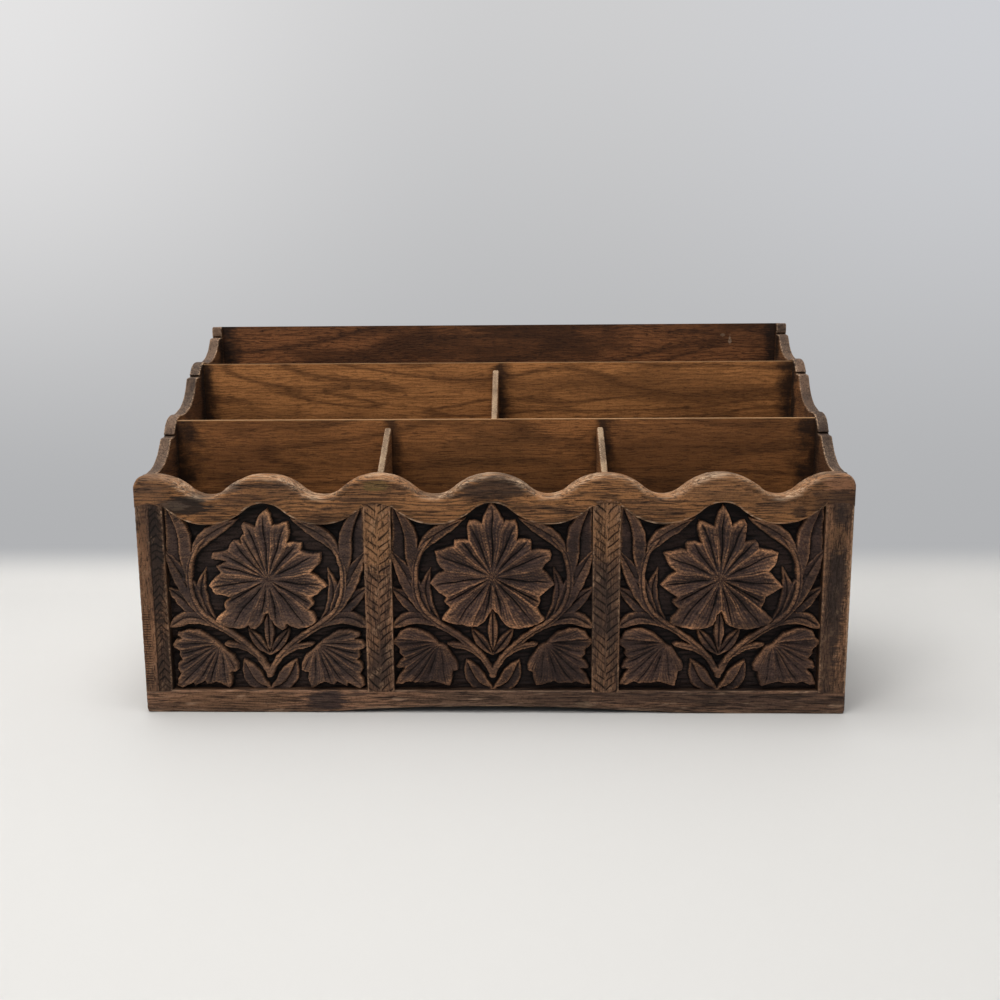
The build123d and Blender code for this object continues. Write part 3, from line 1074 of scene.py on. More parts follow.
    def rail_piece(self, finish: bpy.types.Material) -> bpy.types.Object:
        """The bottom rail with its shallow arch.

        Z runs from the arch to the rail's top, and the front is level but for a hand-made
        unevenness and rounded ends and edges.

        Args:
            finish: Material of the rail.

        Returns:
            The piece.
        """
        half = self.width / 2 - self.seat + self.proud
        x1 = np.linspace(-half, half, 441)
        v1 = np.concatenate([[0.0, 0.02, 0.06], np.linspace(0.1, 0.95, 34), [0.98, 1.0]])
        x, v = np.meshgrid(x1, v1, indexing="ij")
        foot = self.arch(x)
        z = foot + v * (self.rail_top - foot)
        drop = smooth_step(2.2, 0.0, z - foot)
        lip = smooth_step(0.8, 0.0, self.rail_top - z)
        groove = np.clip(ripple(x, z, 10, 30.0, 1.7) - 0.2, 0.0, 0.7)
        y = 0.2 + 0.18 * ripple(x, z, 11, 40.0, 26.0) + 0.08 * ripple(x, z, 12, 14.0, 3.0)
        y = np.maximum(y + 0.35 * groove, 0.0) + 0.9 * drop**2 + 0.35 * lip + self.end_shape(x)
        worn = np.clip(0.8 * drop + 0.45 * lip, 0.0, 1.0)
        worn = np.clip(worn + 0.5 * smooth_step(0.45, 0.9, ripple(x, z, 13, 17.0, 4.0)), 0.0, 1.0)
        sheet = FrontSheet("rail", x, y, z, self.thickness - 0.04, {"worn": worn, "hollow": groove})
        return sheet.build(finish)

    def arch(self, x: np.ndarray) -> np.ndarray:
        """Height of the foot's shallow arch, a circle's arc between its two ends.

        Args:
            x: X across the front.

        Returns:
            The heights, nought beyond the arch.
        """
        radius = (self.arch_half**2 + self.arch_rise**2) / (2 * self.arch_rise)
        rise = self.arch_rise - radius + np.sqrt(np.maximum(radius**2 - x**2, 0.0))
        return np.maximum(rise, 0.0)

    def end_shape(self, x: np.ndarray) -> np.ndarray:
        """How far the front turns back at the holder's two ends, a quarter circle."""
        gap = np.clip(self.end_round - (self.width / 2 - self.seat - np.abs(x)), 0.0, self.end_round)
        return self.end_round - np.sqrt(self.end_round**2 - gap**2)

    def stile_pieces(self, finish: bpy.types.Material) -> list[bpy.types.Object]:
        """The two inner stiles with chevrons and the two outer ones with diagonals and ticks.

        Args:
            finish: Material of the stiles.

        Returns:
            The four pieces, from left to right.
        """
        half = self.width / 2 - self.seat
        pitch = self.field_width + self.inner_stile
        inner = self.inner_stile / 2
        outer = half - self.outer_stile + self.seat
        return [
            self.stile("stile_left", -half, -outer, self.outer_marks, finish),
            self.stile("stile_mid_left", -pitch / 2 - inner, -pitch / 2 + inner, self.chevrons, finish),
            self.stile("stile_mid_right", pitch / 2 - inner, pitch / 2 + inner, self.chevrons, finish),
            self.stile("stile_right", outer, half, self.outer_marks, finish),
        ]

    def stile(
        self,
        name: str,
        left: float,
        right: float,
        marks: Callable[[np.ndarray, np.ndarray, float], np.ndarray],
        finish: bpy.types.Material,
    ) -> bpy.types.Object:
        """One stile between the rail and the rim.

        Args:
            name: Name of the piece.
            left: X of its left edge.
            right: X of its right edge.
            marks: Method that gives the depth of the cut marks.
            finish: Material of the stiles.

        Returns:
            The piece.
        """
        x1 = np.linspace(left, right, int((right - left) / 0.28))
        v1 = np.linspace(0.0, 1.0, 300)
        x, v = np.meshgrid(x1, v1, indexing="ij")
        low = self.rail_top - 0.6
        z = low + v * (self.rim.edge(x, -self.rim.band / 2) + self.tuck - low)
        cut = marks(x - (left + right) / 2, z, np.sign(left + right))
        edge = np.minimum(x - left, right - x)
        nick = 0.5 + 0.5 * np.sin(z / 0.62 + 1.2 * ripple(x, z, 21, 9.0, 5.0))
        lip = smooth_step(0.7, 0.0, edge)
        y = 0.15 + cut + 0.5 * lip * (0.35 + 0.65 * nick) + self.end_shape(x)
        y += 0.06 * ripple(x, z, 23, 5.0, 7.0)
        side = smooth_step(1.1, 0.3, edge) * smooth_step(0.0, 0.35, edge)
        mottle = smooth_step(0.2, 0.9, ripple(x, z, 24, 6.0, 9.0))
        worn = np.clip(side * (0.3 + 0.7 * (1 - nick)) + 0.4 * mottle - cut, 0.0, 1.0)
        worn *= 0.7 if left > 0.8 * self.width / 2 else 1.0
        # Dark glaze with painted shade in the cut marks.
        hollow = np.clip(1.15 * cut / 0.42, 0.0, 1.0) ** 1.4
        masks = {"worn": worn, "hollow": hollow}
        return FrontSheet(name, x, np.maximum(y, 0.02), z, self.thickness - 0.06, masks).build(finish, 70.0)

    @staticmethod
    def chevrons(x: np.ndarray, z: np.ndarray, side: float) -> np.ndarray:
        """Depth of incised chevrons that point down, from the distance to the nearest line.

        Args:
            x: X from the stile's middle.
            z: Height.
            side: Sign of the stile's place.

        Returns:
            Depth of the cut.
        """
        uneven = 0.16 * ripple(x, z, 31 + int(side), 16.0, 11.0)
        phase = (z - 0.85 * np.abs(x) + 0.9 * (x > 0)) / 4.0 + uneven
        gap = np.abs(phase - np.round(phase)) * 4.0 * 0.76
        arm = smooth_step(0.1, 0.7, np.abs(x)) * smooth_step(6.1, 5.4, np.abs(x))
        depth = 0.44 + 0.2 * ripple(x, z, 34, 21.0, 17.0)
        return np.clip(depth, 0.1, 0.65) * arm * np.clip(1.0 - gap / 0.55, 0.0, 1.0)

    def outer_marks(self, x: np.ndarray, z: np.ndarray, side: float) -> np.ndarray:
        """Depth of the outer stile's marks: diagonals on its inner half, ticks at its end.

        Args:
            x: X from the stile's middle.
            z: Height.
            side: Sign of the stile's place.

        Returns:
            Depth of the cut.
        """
        out = x * side
        recess = 0.2 * smooth_step(-0.1, -0.5, out) * smooth_step(self.recess_top, self.recess_top - 0.5, z)
        phase = (z + 1.1 * out * np.where(out < -3.2, -1.0, 1.0)) / 3.6 + 0.3 * ripple(x, z, 41, 9.0, 13.0)
        gap = np.abs(phase - np.round(phase)) * 3.6 * 0.67
        inner = smooth_step(-0.2, -0.8, out) * smooth_step(-6.3, -5.8, out)
        depth = (0.2 + 0.12 * ripple(x, z, 43, 9.0, 17.0)) * inner
        diagonal = depth * np.clip(1.0 - gap / 0.5, 0.0, 1.0) + recess
        line = 0.5 * np.clip(1.0 - np.abs(out + 0.3) / 0.4, 0.0, 1.0) * (z < self.recess_top)
        tick = np.abs(z / 1.2 - np.round(z / 1.2)) * 1.2
        comb = smooth_step(1.6, 2.4, out) * smooth_step(6.4, 5.6, out)
        comb *= smooth_step(13.0, 15.0, z) * smooth_step(54.0, 46.0, z)
        marks = np.maximum(np.maximum(diagonal, line), 0.42 * comb * np.clip(1.0 - tick / 0.38, 0.0, 1.0))
        return marks * (0.4 if side > 0.0 else 1.0)

    def field_pieces(self, finishes: dict[str, bpy.types.Material]) -> list[bpy.types.Object]:
        """The three carved fields.

        Args:
            finishes: Materials by the piece that they belong to.

        Returns:
            The three pieces, from left to right.
        """
        pitch = self.field_width + self.inner_stile
        return [
            self.field_piece("left", -pitch, (LEFT_FLOWER, LEFT_FAN), finishes["carving_left"]),
            self.field_piece("middle", 0.0, (MIDDLE_FLOWER, MIDDLE_FAN), finishes["carving"]),
            self.field_piece("right", pitch, (RIGHT_FLOWER, MIDDLE_FAN), finishes["carving"]),
        ]

    def field_piece(
        self, name: str, centre: float, blooms: "tuple[Bloom, Bloom]", finish: bpy.types.Material
    ) -> bpy.types.Object:
        """One carved field, as heights over its sunk floor.

        Args:
            name: Place of the field.
            centre: X of its middle.
            blooms: The flower of this field and the half flower of its left corner.
            finish: Material of the carving.

        Returns:
            The piece.
        """
        half = self.field_width / 2 + 0.3
        u1 = np.linspace(-half, half, 306)
        v1 = np.linspace(0.0, 1.0, 306)
        u, v = np.meshgrid(u1, v1, indexing="ij")
        low = self.rail_top - 0.5
        z = low + v * (self.rim.edge(u + centre, -self.rim.band / 2) + self.tuck - low)
        seed = int(centre) + 200
        edge = 0.2 * ripple(u, z, 51 + seed, 7.0, 6.0) + 0.08 * ripple(u, z, 52 + seed, 2.6, 2.2)
        surface = np.zeros(u.shape)
        for blade in foliage():
            blade.carve(u, z, surface, edge)
        flower, fan = blooms
        fan.carve(u, z, surface, edge)
        fan.carve(-u, z, surface, edge)
        flower.carve(u, z, surface, edge)
        petal, rib = flower.margin(u, z) + edge, fan.margin(-np.abs(u), z) + edge
        on_flower = smooth_step(-0.8, 0.2, petal)
        on_fan = smooth_step(-0.8, 0.2, rib) * (1.0 - on_flower)
        border = np.clip(1.0 - np.abs(petal - 0.5) / 0.6, 0.0, 1.0)
        border = np.maximum(border, 0.8 * np.clip(1.0 - np.abs(rib - 0.4) / 0.5, 0.0, 1.0) * on_fan)
        border *= smooth_step(-0.7, 0.5, ripple(u, z, 63 + seed, 16.0, 13.0))
        raised = surface > 0.8
        lines = 0.22 * ripple(u, z, 57, 26.0, 2.1) + 0.1 * ripple(u, z, 58, 9.0, 1.0)
        tool = 0.09 * ripple(u, z, 59 + seed, 1.5, 1.3) + 0.12 * ripple(u, z, 60 + seed, 6.0, 4.0)
        surface = surface + np.where(raised, tool, lines)
        # Painted shade on the floor just under the rim, added to the floor's glaze.
        shade_under_rim = smooth_step(7.0, 1.5, self.rim.edge(u + centre, -self.rim.band / 2) - z)
        floor_glaze_and_shade = 0.58 + 1.3 * np.clip(-lines, 0.0, 0.3) + 0.45 * shade_under_rim
        cell = half * 2 / (len(u1) - 1)
        worn, cut = self.relief_masks(surface, cell, raised, border, on_flower, on_fan)
        floor_glaze_and_shade = np.clip(floor_glaze_and_shade, 0.0, 1.0) * (1.0 - smooth_step(0.3, 1.6, surface))
        y = np.clip(self.depth - surface, 0.15, self.depth + 0.5)
        masks = {"worn": worn, "hollow": np.maximum(cut, floor_glaze_and_shade)}
        sheet = FrontSheet(f"carved_field_{name}", u + centre, y, z, self.thickness - 0.1, masks)
        return sheet.build(finish, sharp=88.0)

    @staticmethod
    def relief_masks(
        surface: np.ndarray,
        cell: float,
        raised: np.ndarray,
        border: np.ndarray,
        on_flower: np.ndarray,
        on_fan: np.ndarray,
    ) -> tuple[np.ndarray, np.ndarray]:
        """Wear and glaze of a carving, from its surface less blurred copies of itself.

        What stands above its neighbours is worn, which also paints the relief's highlights, and what
        lies below them keeps glaze, which also paints its shade. The three blurs reach 0.6, 2.6 and
        5 mm.

        Args:
            surface: Heights over the field's floor.
            cell: Distance of the grid's points.
            raised: Where the carving stands over the floor.
            border: Raised borders of the petals.
            on_flower: One on the flower.
            on_fan: One on the half flowers.

        Returns:
            The masks of wear with painted highlight, and of glaze with painted shade.
        """
        ridge, wide, broad = (surface - blurred(surface, reach / cell) for reach in (0.6, 2.6, 5.0))
        worn = np.clip(1.9 * ridge + 0.3 * wide + 0.13 * broad - 0.13 + 0.07 * on_flower, 0.0, 1.0)
        worn *= raised * (0.54 + 0.5 * on_flower - 0.12 * on_fan)
        worn = np.maximum(worn, 0.75 * border * raised)
        cut = np.clip(-2.1 * ridge - 0.5 * wide - 0.14 * broad - 0.06, 0.0, 1.0)
        cut = np.maximum(cut, (0.24 - 0.24 * on_flower - 0.08 * on_fan) * raised)
        return worn, cut


@dataclass(frozen=True)
class Bloom:
    """A carved flower or half flower, by its centre and the outline of each petal.

    Each petal is a run of u, z pairs from the notch before it to the last point before the next
    notch, clockwise. The petals' outlines join into one closed outline.
    """

    centre: tuple[float, float]
    petals: tuple[tuple[float, ...], ...]
    height: float = 4.3
    dish: float = 1.5
    vein: float = 0.6
    hub: float = 3.4

    def margin(self, u: np.ndarray, z: np.ndarray) -> np.ndarray:
        """Distance inside the outline, and minus the distance outside.

        The distance to the nearest edge takes its sign from the number of edges that a level
        ray crosses.

        Args:
            u: X in the field.
            z: Height.

        Returns:
            Signed distances.
        """
        corners = np.concatenate([np.reshape(petal, (-1, 2)) for petal in self.petals])
        nearest = np.full(u.shape, 1e9)
        inside = np.zeros(u.shape, bool)
        for (u0, z0), (u1, z1) in zip(corners, np.roll(corners, -1, axis=0)):
            du, dz = u1 - u0, z1 - z0
            share = np.clip(((u - u0) * du + (z - z0) * dz) / (du * du + dz * dz), 0.0, 1.0)
            nearest = np.minimum(nearest, np.hypot(u - u0 - share * du, z - z0 - share * dz))
            if dz:
                inside ^= ((z >= z0) != (z >= z1)) & (u < u0 + du * (z - z0) / dz)
        return np.where(inside, nearest, -nearest)

    def carve(self, u: np.ndarray, z: np.ndarray, surface: np.ndarray, edge: np.ndarray) -> None:
        """Raise the surface where the bloom stands higher.

        The angle round the centre, between the angles of two notches, is the place across a
        petal. A petal is dished between its two raised borders, and has a cut along its middle.

        Args:
            u: Grid of X in the field.
            z: Grid of Z.
            surface: Heights over the field's floor, raised in place.
            edge: Uneven shift of the outline.
        """
        gap_u, gap_z = u - self.centre[0], z - self.centre[1]
        away = np.hypot(gap_u, gap_z)
        notches = np.array([petal[:2] for petal in self.petals]) - self.centre
        turns = np.unwrap(np.arctan2(notches[:, 0], notches[:, 1]))
        turns = np.append(turns, turns[0] + math.tau)
        turn = turns[0] + np.mod(np.arctan2(gap_u, gap_z) - turns[0], math.tau)
        bend = 0.03 * ripple(u, z, 71, 19.0, 19.0)
        place = np.interp(turn + bend, turns, np.arange(len(turns)))
        index = np.clip(place.astype(int), 0, len(self.petals) - 1)
        wide = np.diff(turns)[index] * away
        across = place - index - 0.5
        away_middle = np.abs(across)
        margin = self.margin(u, z) + edge
        fade = smooth_step(0.1 * self.hub, 1.6 * self.hub, away)
        lift = np.where(np.diff(turns) > np.diff(turns)[:-1].mean(), 0.2, -0.35)[index]
        dish = np.minimum(self.dish, 0.3 * wide)
        top = self.height + fade * (lift - dish * (1.0 - 2.0 * away_middle) ** 0.8)
        long_cut = smooth_step(0.9, 3.4, margin) * smooth_step(self.hub, 2.4 * self.hub, away)
        top -= self.vein * long_cut * np.clip(1.0 - away_middle * wide / 0.5, 0.0, 1.0)
        side = (0.5 - across) * wide
        top -= 0.3 * fade * np.clip(1.0 - np.abs(side - 0.3) / 0.45, 0.0, 1.0)
        top += 0.1 * fade * np.sin(turn * 74.0 + 3.0 * ripple(u, z, 72, 14.0, 14.0))
        top += 0.22 * np.exp(-((away / 5.0) ** 2)) * np.sin(turn * 17.0 + 2.0 * ripple(u, z, 74, 6.0, 6.0))
        top -= 0.35 * smooth_step(1.6, 0.2, margin) * smooth_step(-1.0, 1.0, ripple(u, z, 73, 23.0, 19.0))
        wall = smooth_step(-0.25, 0.35, margin)
        surface[...] = np.maximum(surface, wall * top)


MIDDLE_FLOWER = Bloom(
    (0.3, 65.7),
    (
        (-4.7, 90.8, -4.0, 93.1, -2.6, 96.3, -1.3, 99.0, -0.2, 100.6, 2.4, 98.1, 4.0, 94.9, 5.3, 92.6),
        (5.5, 90.8, 6.7, 92.0, 10.8, 92.1, 11.7, 90.4, 12.1, 88.1, 12.0, 84.9),
        (11.6, 82.4, 12.4, 83.3, 17.8, 83.1, 18.5, 81.7),
        (18.4, 78.3, 22.8, 78.5, 27.1, 77.9, 27.6, 75.8, 26.9, 73.5, 25.1, 71.5),
        (23.5, 69.6, 25.1, 67.6, 27.4, 64.5, 29.1, 61.5, 26.5, 59.7, 23.7, 57.6),
        (21.9, 56.0, 22.4, 55.1, 22.6, 53.5, 21.7, 51.7),
        (20.8, 51.0, 21.9, 48.8, 24.4, 45.0, 22.4, 43.5, 18.3, 41.5),
        (12.6, 40.6, 9.2, 40.6, 6.0, 42.2, 4.2, 44.5, 2.4, 47.6),
        (0.0, 50.0, -1.7, 47.2, -2.6, 45.4, -4.5, 43.1, -6.7, 41.7),
        (-9.5, 41.4, -13.5, 42.2, -16.7, 42.4, -20.4, 43.3, -23.8, 45.2, -21.7, 48.5),
        (-19.9, 50.8, -21.7, 52.2, -22.6, 53.5),
        (-21.3, 55.8, -24.9, 58.1, -27.2, 60.1, -29.2, 62.4, -27.2, 64.9, -24.5, 67.6),
        (-22.2, 68.5, -24.2, 70.4, -25.6, 72.6, -26.0, 75.4, -26.7, 77.6, -23.5, 78.5, -20.4, 79.2),
        (-17.6, 80.1, -17.2, 82.6, -14.9, 83.1),
        (-11.0, 82.6, -11.3, 88.1, -11.0, 90.8, -10.6, 92.1, -8.5, 92.2, -5.8, 91.5),
    ),
)

LEFT_FLOWER = Bloom(
    (1.1, 64.7),
    (
        (-4.3, 89.0, -3.8, 91.3, -2.7, 94.0, -0.6, 96.5, 1.4, 97.6, 2.8, 95.4, 3.6, 92.6),
        (3.9, 89.9, 6.4, 90.4, 9.1, 91.3, 10.7, 91.5, 11.2, 89.9, 11.6, 86.7, 11.2, 84.0),
        (10.5, 81.7, 12.8, 82.0, 17.1, 81.7, 17.3, 79.9),
        (16.6, 78.1, 19.1, 77.2, 22.3, 76.3, 26.0, 77.0, 26.2, 74.5, 25.0, 71.7, 23.0, 69.7),
        (21.2, 67.9, 23.2, 66.3, 26.0, 63.8, 28.7, 61.0, 26.4, 59.7, 23.2, 57.0),
        (20.7, 55.4, 21.6, 53.5, 21.6, 52.2),
        (19.6, 49.9, 21.4, 48.8, 23.0, 45.8, 22.8, 44.0, 21.0, 42.2, 17.8, 40.8, 14.6, 40.6, 11.0, 41.7),
        (9.1, 42.9, 8.2, 40.8, 6.6, 39.8, 4.6, 40.8, 2.8, 42.6, 1.4, 45.4),
        (0.3, 48.1, -0.9, 47.6, -2.7, 44.0, -4.5, 41.7, -6.3, 40.1, -8.1, 40.6),
        (
            -9.3, 42.6, -10.9, 41.0, -14.0, 40.6, -18.6, 40.8,
            -22.7, 42.4, -24.7, 44.5, -23.8, 46.3, -20.9, 48.8,
        ),
        (-19.5, 49.9, -20.2, 51.3, -20.9, 52.6, -19.5, 54.2),
        (-17.2, 56.0, -20.0, 56.5, -23.1, 57.0, -25.4, 58.5, -26.8, 61.3, -25.9, 63.5, -24.0, 65.4),
        (-21.3, 67.6, -22.5, 69.0, -23.6, 70.4, -21.5, 71.6),
        (-18.5, 73.0, -25.2, 74.0, -24.7, 76.8, -20.9, 77.2),
        (-17.7, 78.3, -17.0, 79.2, -16.8, 80.8, -15.0, 82.4, -12.7, 82.6),
        (-10.9, 81.7, -11.1, 84.0, -10.4, 85.4),
        (-9.5, 85.6, -10.4, 88.1, -10.9, 89.9, -9.7, 91.3, -7.2, 90.4),
    ),
)

RIGHT_FLOWER = Bloom(
    (-0.2, 64.7),
    (
        (-3.3, 89.0, -2.8, 92.2, -1.7, 95.8, 0.4, 99.2, 2.0, 97.0, 3.5, 94.2, 4.2, 91.7),
        (4.7, 89.0, 6.0, 90.4, 8.3, 91.7, 10.4, 92.1, 11.5, 89.9, 11.7, 86.7, 11.3, 84.0),
        (10.6, 81.7, 12.4, 82.0, 15.6, 82.4, 17.0, 81.3),
        (17.4, 79.0, 20.1, 78.3, 23.8, 77.6, 26.5, 76.5, 26.0, 74.5, 25.6, 72.2, 23.8, 69.9),
        (22.2, 68.1, 24.2, 66.3, 26.5, 63.5, 28.8, 60.6, 25.6, 58.5, 23.3, 57.0),
        (21.0, 55.8, 20.8, 53.5),
        (19.2, 50.4, 21.0, 49.0, 22.9, 46.7, 24.9, 45.1, 22.4, 42.6, 18.8, 41.0),
        (13.2, 40.4, 9.2, 40.4, 5.1, 41.5, 3.3, 43.1, 2.0, 45.8),
        (0.6, 49.0, -0.8, 47.6, -1.7, 44.5, -3.0, 42.2, -5.3, 40.8, -8.5, 40.4),
        (-13.0, 40.6, -17.6, 41.3, -21.2, 42.2, -22.8, 43.5, -22.4, 45.4, -20.3, 48.1),
        (-19.0, 50.4, -20.3, 51.3, -21.6, 53.1, -21.2, 54.5),
        (-19.9, 55.8, -23.0, 58.1, -25.8, 59.9, -27.5, 61.5, -25.8, 63.5, -24.0, 65.8),
        (-20.8, 68.1, -22.6, 69.5, -24.4, 72.2, -26.5, 76.7, -23.0, 77.2, -18.5, 78.5),
        (-16.0, 77.9, -16.2, 80.8, -15.3, 81.7, -12.6, 82.0),
        (-9.0, 81.3, -10.3, 84.5, -11.0, 87.2, -10.9, 89.9, -10.3, 92.1, -8.0, 91.3, -5.3, 89.9),
    ),
)

MIDDLE_FAN = Bloom(
    (-24.5, 34.0),
    (
        (-21.5, 32.0, -20.0, 29.5, -17.5, 26.0, -16.2, 23.0, -16.5, 20.5),
        (-18.6, 20.0, -19.0, 17.0, -20.0, 13.0, -21.0, 12.8),
        (-28.0, 15.2, -31.0, 14.0),
        (-35.5, 14.3, -37.0, 14.0),
        (-39.5, 15.0, -43.0, 13.2, -46.3, 13.5, -44.0, 18.5),
        (-41.5, 21.5, -44.5, 21.0, -45.5, 22.0, -44.0, 25.0),
        (-42.0, 26.5, -44.0, 28.5),
        (-43.5, 30.6, -48.0, 34.0),
        (-45.0, 36.6, -43.5, 39.6, -40.0, 40.9, -36.0, 41.0, -30.0, 38.5),
        (-27.0, 35.8, -25.0, 33.6),
    ),
    4.0, 0.8, 0.35, 3.4,
)

LEFT_FAN = Bloom(
    (-22.5, 33.5),
    (
        (-20.5, 30.5, -17.0, 27.5, -15.3, 24.0, -15.0, 20.5, -16.5, 19.3),
        (-18.5, 19.5, -18.0, 16.5, -19.0, 12.0, -19.8, 11.2, -24.0, 14.0),
        (-26.0, 14.7, -28.5, 13.0, -30.5, 13.2),
        (-31.5, 14.8, -33.5, 13.5, -36.5, 12.0),
        (-37.1, 14.0, -39.0, 13.0, -42.5, 11.0, -45.0, 12.5, -44.2, 16.0),
        (-42.8, 18.4, -44.3, 21.0, -44.0, 23.5),
        (-41.5, 25.4, -43.3, 27.5, -42.8, 29.6),
        (-42.6, 30.2, -45.0, 31.0, -46.2, 32.3, -44.3, 35.0),
        (-41.0, 36.0, -43.3, 37.0, -43.0, 38.6, -37.5, 40.2, -32.5, 39.6, -27.0, 36.0),
        (-24.8, 34.6, -23.2, 33.2),
    ),
    4.0, 1.1, 0.45, 3.4,
)


def foliage() -> list[Blade]:
    """The stems and leaves round the flower, in both halves of a field.

    After its points, a blade has its width, form, height, dish, tilt and vein.

    Returns:
        The blades of one field.
    """
    leaf, stem = Form.LEAF, Form.STEM
    stalk = (
        (0.3, 18.0), (-4.5, 26.3), (-12.0, 33.8), (-18.7, 38.8), (-25.3, 43.0), (-31.2, 48.0),
        (-34.5, 53.8), (-36.0, 60.5), (-36.0, 68.0), (-34.5, 74.7), (-31.6, 80.0), (-27.0, 84.7),
    )
    half = [
        Blade(((-27.5, 43.6), (-32.5, 51.0), (-38.4, 62.5), (-47.6, 79.0)), 8.6, leaf, 3.2, 0.3, 1.3, 0.3),
        Blade(((-36.2, 61.0), (-40.0, 74.0), (-41.0, 87.0), (-46.0, 100.5)), 12.4, leaf, 3.1, 0.2, -2.1, 0.2),
        Blade(((-27.5, 43.4), (-37.0, 52.0), (-47.6, 60.5)), 8.0, leaf, 2.2, 0.2, 0.6, 0.7),
        Blade(
            ((-20.0, 40.0), (-29.5, 44.6), (-38.5, 45.6), (-47.4, 41.0)), 6.2, Form.SICKLE, 3.0, 0.2, 0.7, 0.5
        ),
        Blade(((-24.4, 43.6), (-29.8, 51.0), (-31.2, 60.0), (-28.6, 69.6)), 5.6, leaf, 2.1, 0.1, 0.5, 0.6),
        Blade(((-34.4, 74.0), (-31.4, 80.6), (-25.0, 86.4), (-12.0, 93.2)), 6.6, leaf, 3.2, 0.2, 0.6, 0.5),
        Blade(((0.0, 27.6), (-4.6, 33.0), (-10.0, 40.6)), 5.2, leaf, 2.3, 0.4, 0.5, 0.9),
        Blade(((0.0, 11.0), (-7.0, 15.0), (-12.6, 25.6)), 9.4, leaf, 2.5, 0.0, -1.4, 0.2),
        Blade(stalk, 3.2, stem, 3.8, 0.0, -0.9, 0.1),
        Blade(((-4.0, 26.5), (-12.0, 31.4), (-21.5, 33.2)), 3.0, stem, 3.3, 0.0, -0.5, 0.2),
    ]
    bud = Blade(((0.2, 29.6), (0.2, 50.0)), 4.8, leaf, 2.5, 0.2, 0.0, 0.9)
    return half + [blade.mirrored() for blade in half] + [bud]


def bowed(start: Point, end: Point, share: float, count: int = 14) -> np.ndarray:
    """Points of an arc between two points, without its end.

    The arc is a parabola over the chord. Its height is the share times the chord's length, to
    the left of the way from start to end.

    Args:
        start: First point.
        end: Last point.
        share: Height of the arc over the chord's length.
        count: Number of points.

    Returns:
        The points.
    """
    first, last = np.array(start), np.array(end)
    t = np.linspace(0.0, 1.0, count, endpoint=False)[:, None]
    chord = last - first
    left = np.array([-chord[1], chord[0]])
    return first + t * chord + 4.0 * t * (1.0 - t) * share * left


def side_line() -> np.ndarray:
    """The stepped edge of a side board in Y and Z, from its front foot to its rear foot.

    Each tier is a hollow, a level tread, a small quirk and a round that swells towards the
    next hollow.

    Returns:
        Points in order.
    """
    noses = ((42.4, 127.6), (84.5, 156.0), (126.4, 177.4))
    side_front = 112.5
    crest_start, crest_end = 126.4, 133.9
    parts = [[(BOARDS_FRONT, 0.0)]]
    last = (BOARDS_FRONT, side_front)
    for k, (y, z) in enumerate(noses):
        tread = (y - 5.0, z - 0.4)
        parts += [bowed(last, tread, -0.15), bowed(tread, (y - 0.4, z + 0.1), 0.05, 5)]
        parts.append([(y + 0.4, z + 0.35), (y + 1.2, z + 0.7), (y + 0.3, z + 1.1)])
        if k < 2:
            rise = 0.37 * (noses[k + 1][1] - z)
            last = (y + 14.0, z + rise)
            parts.append(bowed((y, z + 1.4), last, 0.18))
    parts.append([(crest_start, 178.8), (crest_start, 181.0), (126.6, 183.2), (127.6, 183.9)])
    parts.append([(crest_end, 183.9), (crest_end, 0.0)])
    return np.concatenate([np.array(part) for part in parts])


def divider_line(front: float, low: float, rear: float, high: float) -> np.ndarray:
    """The outline of a divider in Y and Z: a sloping top with a rounded rear corner.

    Args:
        front: Y of its front end.
        low: Height of its top at the front.
        rear: Y of its rear end.
        high: Height of its top at the rear.

    Returns:
        Points in order, from the front foot to the rear foot.
    """
    slope = (high - low) / (rear - front)
    run, drop = 3.0, 4.0
    start, end = (rear - run, high - run * slope), (rear, high - drop)
    corner = bowed(start, end, 0.2, 8)
    top = np.linspace((front, low), start, 16)[:-1]
    return np.concatenate([[(front, DIVIDER_FOOT)], top, corner, [end, (rear, DIVIDER_FOOT)]])


